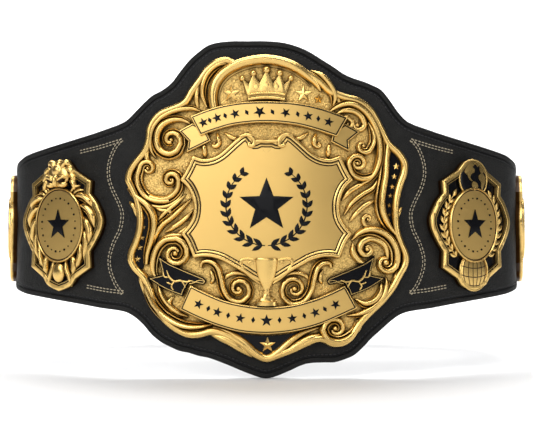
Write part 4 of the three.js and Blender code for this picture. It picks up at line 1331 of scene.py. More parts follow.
def leaf_points(foot, angle, length, width):
    """The outline of a laurel leaf."""
    ahead = Vector((math.cos(angle), math.sin(angle)))
    across = Vector((-ahead.y, ahead.x))
    half = [(0.0, 0.06), (0.2, 0.34), (0.45, 0.5), (0.72, 0.36), (0.9, 0.14)]
    right = [foot + ahead * length * t - across * width * w for t, w in half]
    left = [foot + ahead * length * t + across * width * w for t, w in reversed(half)]
    return [*right, foot + ahead * length, *left]


# Emblem on the centre panel: reaches in grid units, angles in degrees
EMBLEM_RISE = 3
EMBLEM_STAR = 28
WREATH_REACH = 40
WREATH_JOINTS = 11
WREATH_FOOT = -84
WREATH_STEP = 13.5
WREATH_LEAN = 33
WREATH_STEM = (-88, 57, 6)


def make_emblem():
    """A plain star in a laurel wreath, in black enamel on the centre panel."""
    low, high = PANEL_FACE - 0.05 * MM, PANEL_FACE + 0.7 * MM
    centre = Vector((0, EMBLEM_RISE * UNIT_Y))
    bm = bmesh.new()
    raised(star_points(centre, EMBLEM_STAR * UNIT), low, high, rounded(high, 0.3 * MM), into=bm)
    on_front("emblem_star", bm, ("black_enamel",), ("centre_emblem",))
    bm = bmesh.new()
    reach = WREATH_REACH * UNIT
    for side in (-1, 1):
        for k in range(WREATH_JOINTS):
            angle = math.radians(WREATH_FOOT + k * WREATH_STEP)
            foot = centre + Vector((side * math.cos(angle), math.sin(angle))) * reach
            heading = math.atan2(math.cos(angle), -side * math.sin(angle))
            length = (11.5 - 0.35 * k) * UNIT
            for lean in (-1, 1):
                outline = leaf_points(foot, heading + lean * math.radians(WREATH_LEAN),
                                      length, 4.6 * UNIT)
                raised(outline, low, high, rounded(high, 0.25 * MM), into=bm)
        stem = []
        for angle in map(math.radians, range(*WREATH_STEM)):
            stem.append(centre + Vector((side * math.cos(angle), math.sin(angle))) * reach)
        sweep([(stem, swell(len(stem), 0.55 * MM, 0.8, 0.5), False)], "line", into=bm,
              level=PANEL_FACE)
    on_front("emblem_wreath", bm, ("black_enamel",))


# Ribbons: long upper edge, right end, long lower edge and left end
UPPER_RIBBON = (
    ((-75, 93), (-61, 98.5), (-46, 103), (-26, 106.5), (0, 107.5), (29, 106), (54, 101), (80, 92)),
    ((80, 92), (69, 72.5)),
    ((69, 72.5), (49, 79), (29, 84), (0, 86.5), (-31, 84), (-51, 78.5), (-65, 73.5)),
    ((-65, 73.5), (-75, 93)),
)
LOWER_RIBBON = (
    ((-74.5, -77), (-56, -86), (-41, -92), (-21, -96.5), (0, -98.5), (22, -97), (39, -93),
     (54, -88), (77, -77.5)),
    ((77, -77.5), (89, -100)),
    ((89, -100), (69, -109), (49, -117), (24, -123), (0, -125), (-26, -123), (-48, -117),
     (-66, -110), (-85, -101)),
    ((-85, -101), (-74.5, -77)),
)
UPPER_TAILS = (
    ((-73, 86.5), (-87.5, 79), (-77.5, 68.5), (-79.3, 56.7), (-54.9, 68.6), (-60, 79)),
    ((78, 86), (93, 78), (81.5, 68.5), (82.5, 58), (64, 67.5), (66, 78)),
)
LOWER_TAIL = (
    ((108, -47), (98, -54), (85, -60), (73, -65), (62, -69.5)),
    ((62, -69.5), (59.5, -73), (62, -76.5)),
    ((62, -76.5), (70, -75), (76, -73.5)),
    ((76, -73.5), (81, -82), (83, -88)),
    ((83, -88), (94, -84), (103, -80), (119, -70)),
    ((119, -70), (103, -66.5)),
    ((103, -66.5), (108, -47)),
)
TAIL_FOLD = ((60.5, -73), (66, -72), (72, -74.5), (76, -75.5))
# A sprig on each dark tail: width and line
SPRIGS = (
    (2.2, ((80, -79), (84, -72.5), (91, -73), (96, -69), (99, -62))),
    (1.8, ((84, -72.5), (79, -73.5), (73, -72))),
    (1.8, ((91, -73), (94, -78), (92, -82))),
    (1.6, ((96, -69), (101, -68.5), (103, -63))),
    (1.6, ((94, -76), (99, -74))),
)


def ribbon_steps(top):
    """A rounded lip, a black line and the face inside it."""
    return (
        (0.20 * MM, top - 0.15 * MM, 0),
        (0.25 * MM, top, 0),
        (0.45 * MM, top, 0),
        (0.12 * MM, top - 0.2 * MM, 2),
        (0.75 * MM, top - 0.2 * MM, 2),
        (0.12 * MM, top, 1),
    )


def on_one_side(points, side):
    """Grid points as they are for the right side, or turned over for the left."""
    placed = grid(*points)
    return flipped(placed) if side < 0 else placed


def make_ribbons():
    finishes = ("gilt", "gilt_satin", "black_enamel")
    for name, stretches, node_name in (
        ("upper_ribbon_band", UPPER_RIBBON, "upper_ribbon"),
        ("lower_ribbon_band", LOWER_RIBBON, "lower_ribbon"),
    ):
        outline = outline_of(*[grid(*points) for points in stretches])
        bm, _ = raised(outline, SEAT, RIBBON_TOP - 0.5 * MM, ribbon_steps(RIBBON_TOP),
                       face_finish=1)
        on_front(name, bm, finishes, replaces=(node_name,))
    bm = bmesh.new()
    for points in UPPER_TAILS:
        raised(grid(*points), SEAT, TAIL_TOP - 0.5 * MM, ribbon_steps(TAIL_TOP), into=bm,
               face_finish=1)
    on_front("upper_ribbon_tails", bm, finishes)
    for side, node_name in ((-1, "ribbon_tail_left"), (1, "ribbon_tail_right")):
        outline = outline_of(*[on_one_side(points, side) for points in LOWER_TAIL])
        bm, _ = raised(outline, SEAT, TAIL_TOP - 0.4 * MM, (
            (0.25 * MM, TAIL_TOP, 0),
            (0.55 * MM, TAIL_TOP, 0),
            (0.10 * MM, TAIL_TOP + 0.25 * MM, 1),
            (0.45 * MM, TAIL_TOP + 0.25 * MM, 1),
            (0.10 * MM, TAIL_TOP - 0.05 * MM, 1),
        ))
        lines = []
        for width, points in SPRIGS:
            line = smooth(on_one_side(points, side), steps=5)
            lines.append((line, swell(len(line), width * UNIT / 2, 0.4, 0.4), False))
        fold = smooth(on_one_side(TAIL_FOLD, side), steps=5)
        lines.append((fold, [0.3 * MM] * len(fold), False))
        drawn = bmesh.new()
        sweep(lines, "line", into=drawn, level=TAIL_TOP)
        on_front(f"{node_name}_enamel", bm, ("black_enamel", "gilt"), (node_name,))
        on_front(f"{node_name}_sprig", drawn, cut=False)


# Plain ornaments on the ribbons, in a row of stars and lozenges; reaches in grid units
ORNAMENTS = 13
STAR_REACH = 5.2
MIDDLE_STAR_REACH = 6.4
LOZENGE_REACH = (2.0, 3.2)


def place_along(line, share):
    """The place at a share of a line's points."""
    spot = share * (len(line) - 1)
    first = int(spot)
    after = line[min(first + 1, len(line) - 1)]
    return line[first] + (after - line[first]) * (spot - first)


def lozenge_points(centre, turn):
    points = []
    for k in range(4):
        angle = turn + k * math.pi / 2
        reach = LOZENGE_REACH[k % 2] * UNIT
        points.append(centre + Vector((math.cos(angle), math.sin(angle))) * reach)
    return points


def ribbon_ornaments(stretches):
    """Stars and lozenges in turn on a ribbon, halfway between its long edges."""
    upper = smooth(grid(*stretches[0]), steps=6)
    lower = smooth(grid(*stretches[2]), steps=6)[::-1]
    bm = bmesh.new()
    low, high = RIBBON_TOP - 0.1 * MM, RIBBON_TOP + 0.35 * MM
    for k in range(ORNAMENTS):
        share = 0.09 + 0.82 * k / (ORNAMENTS - 1)
        above, below = place_along(upper, share), place_along(lower, share)
        lean = above - below
        turn = math.atan2(lean.y, lean.x) - math.pi / 2
        if k % 2:
            outline = lozenge_points((above + below) / 2, turn)
        else:
            reach = MIDDLE_STAR_REACH if k == ORNAMENTS // 2 else STAR_REACH
            outline = star_points((above + below) / 2, reach * UNIT, turn=turn)
        raised(outline, low, high, ((0.12 * MM, high + 0.05 * MM, 0),), into=bm)
    return bm


def make_ornaments():
    for name, stretches in (("upper_ribbon_stars", UPPER_RIBBON),
                            ("lower_ribbon_stars", LOWER_RIBBON)):
        on_front(name, ribbon_ornaments(stretches), ("black_enamel",))


# Crown: the right half of its outline; then pearls, lozenges and the rolls of its band
CROWN_HALF = (
    ((0, 140), (3.6, 132.5), (6.8, 126.5)),
    ((6.8, 126.5), (9.8, 130.5), (13, 136.5)),
    ((13, 136.5), (15.2, 130.5), (17.4, 125)),
    ((17.4, 125), (20.6, 128), (24.5, 132)),
    ((24.5, 132), (22, 124), (19.4, 115.5)),
    ((19, 115.5), (17.5, 110), (8, 111), (0, 111.4)),
)
PEARLS = ((0, 140, 3.8), (13, 136.5, 3.3), (-13, 136.5, 3.3), (24, 131.5, 3), (-24, 131.5, 3))
LOZENGES = ((-10, 123), (0, 124.5), (10, 123))


def make_crown():
    top = SEAT + 3.4 * MM
    outline = outline_of(*mirrored(*[grid(*points) for points in CROWN_HALF]))
    bm, _ = raised(outline, SEAT - 0.5 * MM, top - 0.45 * MM, rounded(top, 0.45 * MM))
    slice_along(bm)
    for x, y, radius in PEARLS:
        knob(bm, grid((x, y))[0], radius * UNIT, SEAT + 2.0 * MM, radius * UNIT)
    for x, y in LOZENGES:
        points = grid((x - 2.6, y), (x, y + 4), (x + 2.6, y), (x, y - 4))
        _, face = raised(points, top - 0.3 * MM, top + 0.15 * MM, into=bm)
        poked = bmesh.ops.poke(bm, faces=[face])
        bmesh.ops.translate(bm, verts=poked["verts"], vec=(0, 0, 0.4 * MM))
    rolls = []
    for height, half in ((110.8, 1.9), (115.6, 1.5)):
        line = smooth(grid((-18, height - 1.2), (-9, height + 0.4), (0, height + 0.8),
                           (9, height + 0.4), (18, height - 1.2)), steps=5)
        rolls.append((line, [half * UNIT] * len(line), False))
    sweep(rolls, "ridge", into=bm, level=top - 0.6 * MM)
    on_front("crown_relief", bm, ("gilt_bright",), replaces=("crown",), cut=False)


# Cup: radius and height of its turned profile, from the rim down, in grid units
CUP_ROWS = (
    (0, -50.6), (9.8, -50.6), (10.6, -49.6), (11.4, -50.8), (10.8, -52.6), (10.4, -58), (9.2, -65),
    (7.0, -72), (4.2, -78), (2.2, -81.6), (3.2, -82.8), (2.2, -84), (2.6, -86), (4.4, -88.4),
    (7.0, -90.2), (7.4, -92.6), (10.2, -93.2), (10.6, -97), (0, -97.2),
)
CUP_DEPTH = 0.42
CUP_HANDLE = ((9.5, -52.5), (15, -50.8), (21, -50.4), (25, -52), (24, -57.5), (19.5, -64),
              (13, -70), (6, -75))
CUP_CURL = ((13.5, -56), (14.5, -52.5), (17.5, -54.5), (16, -58))


def make_cup():
    bm = bmesh.new()
    verts = [bm.verts.new((x * UNIT_X, y * UNIT_Y, 0)) for x, y in CUP_ROWS]
    edges = [bm.edges.new(pair) for pair in zip(verts, verts[1:])]
    bmesh.ops.spin(bm, geom=verts + edges, cent=(0, 0, 0), axis=(0, 1, 0), dvec=(0, 0, 0),
                   angle=2 * math.pi, steps=32, use_merge=True)
    bmesh.ops.remove_doubles(bm, verts=bm.verts, dist=0.01 * MM)
    bmesh.ops.transform(bm, matrix=Matrix.Diagonal((1, 1, CUP_DEPTH, 1)), verts=bm.verts)
    bmesh.ops.translate(bm, verts=bm.verts, vec=(0, 0, PANEL_FACE + 0.6 * MM))
    lines = []
    for side in (-1, 1):
        for width, points in ((3.2, CUP_HANDLE), (2.0, CUP_CURL)):
            placed = [Vector((side * p.x, p.y)) for p in grid(*points)]
            line = smooth(placed, steps=5)
            lines.append((line, swell(len(line), width * UNIT / 2, 0.7, 0.6), False))
    sweep(lines, "bead", into=bm, level=PANEL_FACE)
    on_front("cup_relief", bm, ("gilt_bright",), replaces=("trophy_cup",), cut=False, angle=50)


# Stars on the front plate: the CAD node, place and radius in grid units
STARS = (
    ("field_star_left", -35, 116.5, 9),
    ("field_star_right", 37, 116, 9),
    ("field_star_small", 52, 111, 5),
    ("bottom_star", 1, -136.5, 8.2),
)
STRIP_STARS = (
    (-123.7, -8.6, 2.3), (-124.2, -18.5, 2.7), (-125.7, -29.3, 3.0), (-127.8, -39.2, 3.4),
    (-130.2, -51, 3.8), (131.3, 43.6, 3.6), (129.3, 33.2, 3.2), (127.0, 22.7, 2.9),
    (124.9, 13.6, 2.6), (123.9, 3.7, 2.4), (123.7, -6, 2.2),
)


def make_stars():
    for name, x, y, radius in STARS:
        low = ENAMEL_TOP if name == "bottom_star" else SEAT
        bm = bmesh.new()
        faceted_star(bm, grid((x, y))[0], radius * UNIT, low - 0.4 * MM, low + 1.9 * MM)
        on_front(f"{name}_relief", bm, ("gilt_bright",), replaces=(name,), cut=False, angle=10)
    bm = bmesh.new()
    for x, y, radius in STRIP_STARS:
        faceted_star(bm, grid((x, y))[0], radius * UNIT,
                     ENAMEL_TOP - 0.2 * MM, ENAMEL_TOP + 0.8 * MM)
    on_front("strip_stars", bm, ("gilt_bright",), cut=False, angle=10)


# Enamel floors
BOTTOM_ENAMEL = (
    ((-50, -119), (-26, -125), (0, -127.5), (26, -125), (50, -119)),
    ((50, -119), (37, -124), (23, -133), (10, -144.5), (0, -149.5), (-10, -144.5), (-23, -133),
     (-37, -124), (-50, -119)),
)
STRIP_LEFT = (
    ((-131.5, 4), (-123, 3), (-118, -6), (-116.5, -16), (-119, -30), (-122.5, -44), (-124, -60)),
    ((-124, -60), (-135, -60), (-136, -50), (-133, -40), (-130, -30), (-127.5, -18), (-128, -6),
     (-131.5, 4)),
)
STRIP_RIGHT = (
    ((126, 62), (136, 54), (138, 44), (134.5, 32), (130.5, 18), (128, 2), (129, -16)),
    ((129, -16), (120, -14), (117.5, -4), (117.5, 8), (119.5, 22), (121.5, 38), (122.5, 52),
     (126, 62)),
)


def make_enamel():
    for name, stretches in (
        ("bottom_enamel", BOTTOM_ENAMEL),
        ("enamel_strip_left", STRIP_LEFT),
        ("enamel_strip_right", STRIP_RIGHT),
    ):
        outline = outline_of(*[grid(*points) for points in stretches])
        bm, _ = raised(outline, FIELD - 0.3 * MM, ENAMEL_TOP)
        on_front(f"{name}_floor", bm, ("black_enamel",), (name,))


# Side plates: the right half of the shield's outline, as stretches between corners
SHIELD_HALF = (
    ((0, 56.5), (10, 54.3), (18, 46.5)),
    ((18, 46.5), (35.5, 37)),
    ((35.5, 37), (34.5, 26.5)),
    ((34.5, 26.5), (40, 20.5), (45.5, 11.5), (48, 4), (46.5, -4), (41, -14), (34.5, -23)),
    ((34.5, -23), (35.5, -36.5)),
    ((35.5, -36.5), (19, -46)),
    ((19, -46), (14, -52), (0, -57)),
)
OVAL_WIDTH = 57.5 * MM
OVAL_HEIGHT = 65 * MM
OVAL_RISE = 0
SIDE_TOP_LEVEL = FIELD + 3.2 * MM
MEDALLION_FACE = SEAT + 3.6 * MM


def circle(centre, radius, count):
    return [centre + Vector((math.cos(2 * math.pi * k / count),
                             math.sin(2 * math.pi * k / count))) * radius
            for k in range(count)]


def oval(width, height, count=72):
    """A medallion's outline."""
    return [Vector((p.x * width / 2, OVAL_RISE + p.y * height / 2))
            for p in circle(Vector((0, 0)), 1, count)]


def shield_outline(width, height):
    return outline_of(*mirrored(*[side_grid(*points, width=width, height=height)
                                  for points in SHIELD_HALF]))


def shield_plate(width, height):
    """A waisted shield with a flat polished frame, a dark line, a thin lip and a sunk floor."""
    top = SIDE_TOP_LEVEL
    bm, _ = raised(shield_outline(width, height), GAP, top - 0.8 * MM, (
        (0.25 * MM, top - 0.25 * MM, 0),
        (0.45 * MM, top, 0),
        (3.10 * MM, top, 0),
        (0.30 * MM, top - 0.4 * MM, 0),
        (0.15 * MM, top - 1.2 * MM, 1),
        (0.70 * MM, top - 1.2 * MM, 1),
        (0.15 * MM, top - 0.5 * MM, 0),
        (0.60 * MM, top - 0.5 * MM, 0),
        (0.25 * MM, FIELD, 0),
    ), face_finish=1)
    return bm


def medallion_relief(width, height):
    """An oval with a beaded edge, a dark line and a satin face."""
    face = MEDALLION_FACE
    bm, _ = raised(oval(width, height), SEAT - 0.3 * MM, face, (
        (0.3 * MM, face + 0.7 * MM, 0),
        (0.5 * MM, face + 1.1 * MM, 0),
        (0.6 * MM, face + 1.1 * MM, 0),
        (0.4 * MM, face + 0.5 * MM, 0),
        (0.15 * MM, face - 0.3 * MM, 2),
        (0.65 * MM, face - 0.3 * MM, 2),
        (0.15 * MM, face, 1),
    ), face_finish=1)
    return bm


# A medallion's star and the dots round it, in millimetres
MEDALLION_STAR = 13.5
DOTS = 24
DOT_RING = Vector((20, 23))
DOT_RADII = (0.6, 0.95)
DOT_SIDES = 8


def medallion_emblem(scale=1.0):
    """A plain star in a ring of small and large dots, in black enamel."""
    low, high = MEDALLION_FACE - 0.1 * MM, MEDALLION_FACE + 0.5 * MM
    bm = bmesh.new()
    centre = Vector((0, OVAL_RISE))
    raised(star_points(centre, MEDALLION_STAR * MM * scale), low, high,
           rounded(high, 0.25 * MM), into=bm)
    for k in range(DOTS):
        angle = 2 * math.pi * (k + 0.5) / DOTS
        spot = Vector((math.cos(angle) * DOT_RING.x, math.sin(angle) * DOT_RING.y))
        dot = circle(centre + spot * MM * scale, DOT_RADII[k % 2] * MM * scale, DOT_SIDES)
        raised(dot, low, high - 0.1 * MM, into=bm)
    return bm


def on_side(name, bm, along, finishes=("gilt",), replaces=(), cut=True,
            angle=38, up=SIDE_RISE - SIDE_DROP):
    """Place a drawing on a side or outer plate."""
    if cut:
        slice_along(bm)
        slice_along(bm, UPRIGHT_SLICE, upright=True)
    roll(bm, along, up)
    return piece(name, bm, finishes, replaces, angle)


ENAMELLED = ("gilt", "black_enamel", "antique_line")
MEDALLION = ("gilt", "gilt_satin", "antique_line")

# Locks of the mane on the right half, in side grid units: width, start, end and line
MANE = (
    (4.8, 0.5, 0.2, ((13, 26), (17, 31), (23, 33.5))),
    (4.8, 0.5, 0.2, ((16, 25), (21, 28.5), (28, 29))),
    (8.0, 0.4, 0.1, ((18, 24), (26, 24), (33, 20), (38, 13))),
    (8.0, 0.4, 0.1, ((23, 16), (31, 14), (37, 7), (39, -4))),
    (7.5, 0.4, 0.1, ((26, 7), (32, 1), (34.5, -8), (32.5, -18))),
    (6.5, 0.4, 0.1, ((27, -4), (30, -12), (29.5, -21), (27, -31))),
    (6.5, 0.4, 0.1, ((23, -14), (24.5, -23), (22, -32), (18.5, -38))),
    (6.5, 0.4, 0.1, ((14, -25), (17, -32), (17, -38), (15, -44))),
    (5.5, 0.5, 0.3, ((7, -30), (8.5, -38), (12, -45), (13.5, -53))),
)
# Locks round the lion's brow
BROW_LOCKS = (
    (5.5, 0.6, 0.15, ((0.2, 45), (0.5, 51), (0, 57))),
    (6.0, 0.6, 0.2, ((2.6, 45), (5, 51), (9, 53.5), (13, 50))),
    (5.5, 0.6, 0.2, ((7.5, 45), (11, 48.5), (14.5, 46.5), (16.5, 42))),
    (5.0, 0.6, 0.2, ((11.5, 41), (14.5, 43), (17, 40), (17.5, 35.5))),
    (4.5, 0.5, 0.2, ((13, 36), (15.5, 37.5), (17.5, 34), (18, 29.5))),
)
# The brows over the eyes
BROWS = (
    (3.4, 0.5, 0.4, ((2.4, 38.2), (6.4, 40.6), (11, 41.6))),
)
# The lion's face: lumps in side grid units, with their reach across, up and out
LION_LUMPS = (
    (0, 42.5, 13, 10.5, 4.0, 3.4),
    (0, 47, 5.5, 5.5, 4.2, 4.4),
    (0, 38, 2.5, 5.6, 4.4, 5.8),
    (-6.4, 41, 5.4, 2.4, 4.0, 5.2),
    (6.4, 41, 5.4, 2.4, 4.0, 5.2),
    (-7.2, 35, 4.8, 3.0, 3.6, 4.8),
    (7.2, 35, 4.8, 3.0, 3.6, 4.8),
)
LION_EYES = ((-6.8, 37.9), (6.8, 37.9))
# Half an eye's length, half its opening, and how far its outer corner rises
EYE_SLIT = (3.6, 1.2, 0.9)
# The drop below the medallion, as one more lump
DROP = (0, -41, 6.8, 8.6, 3.6, 2.2)


def side_strands(rows, profile, level, into=None):
    lines = []
    for width, start, end, points in rows:
        line = smooth(side_grid(*points), steps=6)
        radii = swell(len(line), width * SIDE_UNIT / 2, start, end)
        lines.append((line, radii, False))
        lines.append((flipped(line), radii, False))
    return sweep(lines, profile, into=into, level=level)


def lump(bm, row, level):
    """A rounded lump of a modelled head."""
    x, y, across, up, out, rise = row
    made = bmesh.ops.create_uvsphere(bm, u_segments=24, v_segments=16, radius=1.0)
    reach = Matrix.Diagonal((across * SIDE_UNIT, up * SIDE_UNIT, out * SIDE_UNIT, 1))
    bmesh.ops.transform(bm, matrix=reach, verts=made["verts"])
    place = side_grid((x, y))[0]
    bmesh.ops.translate(bm, verts=made["verts"], vec=(place.x, place.y, level + rise * SIDE_UNIT))


def make_lion_plate():
    along = -SIDE_ALONG
    on_side("lion_shield", shield_plate(SIDE_PLATE_WIDTH, SIDE_HEIGHT), along, ENAMELLED,
            replaces=("side_plate_left",))
    on_side("lion_medallion", medallion_relief(OVAL_WIDTH, OVAL_HEIGHT), along, MEDALLION,
            replaces=("medallion_left",))
    on_side("lion_medallion_star", medallion_emblem(), along, ("black_enamel",))
    bm = side_strands(MANE, "double", FIELD)
    lump(bm, DROP, SEAT)
    on_side("lion_mane", bm, along, cut=False, angle=60)
    bm = bmesh.new()
    for row in LION_LUMPS:
        lump(bm, row, SEAT)
    head = on_side("lion_face", bm, along, cut=False, angle=180, replaces=("lion_head",))
    blend_lumps(head, 0.55 * MM)
    bm = side_strands(BROW_LOCKS, "ridge", SEAT + 1.6 * MM)
    side_strands(BROWS, "bead", SEAT + 7.6 * MM, into=bm)
    on_side("lion_brow_locks", bm, along, cut=False, angle=60)
    bm = bmesh.new()
    half, open_half, slant = EYE_SLIT
    for x, y in LION_EYES:
        tilt = slant if x > 0 else -slant
        slit = side_grid((x - half, y - tilt), (x, y + open_half),
                         (x + half, y + tilt), (x, y - open_half))
        raised(slit, SEAT + 3 * MM, SEAT + 8.4 * MM, into=bm)
    on_side("lion_eyes", bm, along, ("antique_line",), cut=False)


# A relief high enough to be polished all over
POLISHED = 3.0


def blend_lumps(made, size):
    """Melt a piece's lumps into one smooth skin."""
    remesh = made.modifiers.new("melt", "REMESH")
    remesh.mode = "VOXEL"
    remesh.voxel_size = size
    remesh.use_smooth_shade = True
    soften = made.modifiers.new("soften", "SMOOTH")
    soften.factor = 0.5
    soften.iterations = 3
    ready = made.evaluated_get(bpy.context.evaluated_depsgraph_get())
    mesh = bpy.data.meshes.new_from_object(ready)
    old = made.data
    made.modifiers.clear()
    made.data = mesh
    bpy.data.meshes.remove(old)
    mesh.name = made.name
    layer = mesh.attributes.new("relief", "FLOAT", "POINT")
    for one in layer.data:
        one.value = POLISHED


# Laurel sprays: the stem on the right half, in side grid units, and the leaves on it
LAUREL_STEM = ((20, -27), (29, -15), (33, -1), (30, 13), (22, 26))
LAUREL_JOINTS = 9
LAUREL_LEAF = (7.6, 3.6)
LAUREL_LEAN = 34
# Lands on the upper globe, in side grid units from its centre
LAND_MASSES = (
    ((-11.5, 5.5), (-9, 10), (-4, 13.6), (0, 14.2), (-0.5, 11.5), (-2.6, 10.2), (0, 8), (-1.2, 5.2),
     (-4, 4), (-5.6, 1.2), (-4.4, -0.8), (-2.2, -2.2), (-5.4, -1.6), (-7.6, 0.8), (-8.6, 3)),
    ((-2.4, -2.6), (0.6, -2.8), (3.8, -5.4), (2.8, -8.8), (0.8, -9.4), (0.2, -10.6), (-1.0, -9.8),
     (-1.8, -8.6), (-3.6, -5.6)),
    ((6.4, 10.6), (8.6, 10.4), (11.4, 7), (10.6, 4.6), (13.2, 2.2), (13.6, -2), (11, -6.4),
     (9.4, -9.6), (8, -7), (7.6, -2.6), (5, -0.2), (4.6, 3), (7.4, 4.6), (6.2, 7.6)),
    ((2.2, 13.8), (5.2, 13), (4.2, 10.4), (2.6, 11)),
)
GLOBE_RADIUS = 16.4
UPPER_GLOBE = (0, 40)
LOWER_GLOBE = (0, -40)
GLOBE_DEPTH = 0.12
GLOBE_LEVEL = SEAT + 1.6 * MM
RING_SIDES = 48
# Lines on the lower globe: how far across and how far up they cross its middle
MERIDIANS = (-0.8, -0.48, -0.16, 0.16, 0.48, 0.8)
PARALLELS = (-0.6, -0.15, 0.32, 0.72)
PARALLEL_SAG = 0.16
GLOBE_LINE = 0.42 * MM


def globe_dome(centre, radius):
    bm = bmesh.new()
    made = bmesh.ops.create_uvsphere(bm, u_segments=40, v_segments=24, radius=radius)
    bmesh.ops.transform(bm, matrix=Matrix.Diagonal((1, 1, GLOBE_DEPTH, 1)), verts=made["verts"])
    bmesh.ops.translate(bm, verts=made["verts"], vec=(centre.x, centre.y, GLOBE_LEVEL))
    return bm


def onto_globe(bm, centre, radius, rise):
    """Lay a flat drawing on a globe's dome."""
    for vert in bm.verts:
        away = Vector((vert.co.x - centre.x, vert.co.y - centre.y))
        inside = max(1 - (away.length / radius) ** 2, 0.0)
        vert.co.z += GLOBE_LEVEL + math.sqrt(inside) * radius * GLOBE_DEPTH + rise


def globe_ring(centre, radius, half_width, into=None):
    ring = circle(centre, radius, RING_SIDES)
    return sweep([(ring, [half_width] * len(ring), True)], "ridge", into=into,
                 level=GLOBE_LEVEL + 0.2 * MM)


def globe_lines(centre, radius):
    """Meridians and sagging parallels, flat, with their widths."""
    lines = []
    shares = [k / 10 for k in range(-10, 11)]
    for lean in MERIDIANS:
        lines.append([(lean * math.cos(t * math.pi / 2), math.sin(t * math.pi / 2))
                      for t in shares])
    for height in PARALLELS:
        reach = math.sqrt(1 - height * height)
        lines.append([(reach * t, height - PARALLEL_SAG * (1 - t * t)) for t in shares])
    return [([centre + Vector(place) * radius for place in line], [GLOBE_LINE] * len(line), False)
            for line in lines]


def make_globes(along):
    radius = GLOBE_RADIUS * SIDE_UNIT
    upper = side_grid(UPPER_GLOBE)[0]
    lower = side_grid(LOWER_GLOBE)[0]
    on_side("upper_globe", globe_dome(upper, radius), along, ("black_enamel",),
            ("globe_top",), cut=False, angle=180)
    bm = bmesh.new()
    for points in LAND_MASSES:
        shore = smooth([upper + Vector(p) * SIDE_UNIT for p in points], closed=True, steps=3)
        raised(shore, -0.4 * MM, 0.55 * MM, into=bm)
    step = 1.5 * MM
    slice_along(bm, step)
    slice_along(bm, step, upright=True)
    onto_globe(bm, upper, radius, 0)
    globe_ring(upper, radius, 0.8 * MM, bm)
    on_side("upper_globe_lands", bm, along, ("gilt_bright",), cut=False)
    on_side("lower_globe", globe_dome(lower, radius), along, ("gilt",),
            ("globe_bottom",), cut=False, angle=180)
    bm = sweep(globe_lines(lower, radius), "line", level=-0.2 * MM)
    onto_globe(bm, lower, radius, 0)
    on_side("lower_globe_lines", bm, along, ("antique_line",), cut=False)
    bm = globe_ring(lower, radius, 0.9 * MM)
    on_side("lower_globe_ring", bm, along, cut=False)


def make_laurel(along, side, node_name):
    """One spray: a stem, with a pair of leaves at each of its joints and one at its tip."""
    line = smooth(side_grid(*LAUREL_STEM), steps=8)
    if side < 0:
        line = flipped(line)
    low = ENAMEL_TOP
    bm = sweep([(line, swell(len(line), 0.7 * MM, 1.0, 0.6), False)], "ridge", level=low - 0.2 * MM)
    length, width = (part * SIDE_UNIT for part in LAUREL_LEAF)
    for k in range(LAUREL_JOINTS + 1):
        spot = k / LAUREL_JOINTS * (len(line) - 2)
        first = int(spot)
        ahead = line[first + 1] - line[first]
        foot = line[first] + ahead * (spot - first)
        heading = math.atan2(ahead.y, ahead.x)
        leans = (0,) if k == LAUREL_JOINTS else (-1, 1)
        for lean in leans:
            outline = leaf_points(foot, heading + lean * math.radians(LAUREL_LEAN), length, width)
            _, face = raised(outline, low - 0.3 * MM, low + 0.8 * MM, into=bm)
            poked = bmesh.ops.poke(bm, faces=[face])
            bmesh.ops.translate(bm, verts=poked["verts"], vec=(0, 0, 1.1 * MM))
    name = "left" if side < 0 else "right"
    on_side(f"laurel_spray_{name}", bm, along, replaces=(node_name,), cut=False)


def make_globe_plate():
    along = SIDE_ALONG
    on_side("globe_shield", shield_plate(SIDE_PLATE_WIDTH, SIDE_HEIGHT), along, ENAMELLED,
            replaces=("side_plate_right", "side_enamel_right"))
    on_side("globe_medallion", medallion_relief(OVAL_WIDTH, OVAL_HEIGHT), along, MEDALLION,
            replaces=("medallion_right",))
    on_side("globe_medallion_star", medallion_emblem(), along, ("black_enamel",))
    make_globes(along)
    make_laurel(along, -1, "laurel_left")
    make_laurel(along, 1, "laurel_right")


def make_outer_plates():
    share = OUTER_PLATE_WIDTH / SIDE_PLATE_WIDTH
    for name, side in (("left", -1), ("right", 1)):
        along = side * OUTER_ALONG
        on_side(f"hip_shield_{name}", shield_plate(OUTER_PLATE_WIDTH, OUTER_HEIGHT), along,
                ENAMELLED, replaces=(f"outer_plate_{name}",), up=OUTER_RISE)
        on_side(f"hip_medallion_{name}", medallion_relief(OVAL_WIDTH * share, OVAL_HEIGHT * share),
                along, MEDALLION, replaces=(f"outer_medallion_{name}",), up=OUTER_RISE)
        on_side(f"hip_star_{name}", medallion_emblem(share), along, ("black_enamel",),
                up=OUTER_RISE)


def make_fasteners():
    """Nickel on the snaps and screws, whose solids keep their shape."""
    for name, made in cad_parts.items():
        if "screw" in name or name.startswith("snap"):
            made.data.materials.clear()
            made.data.materials.append(finish("nickel"))


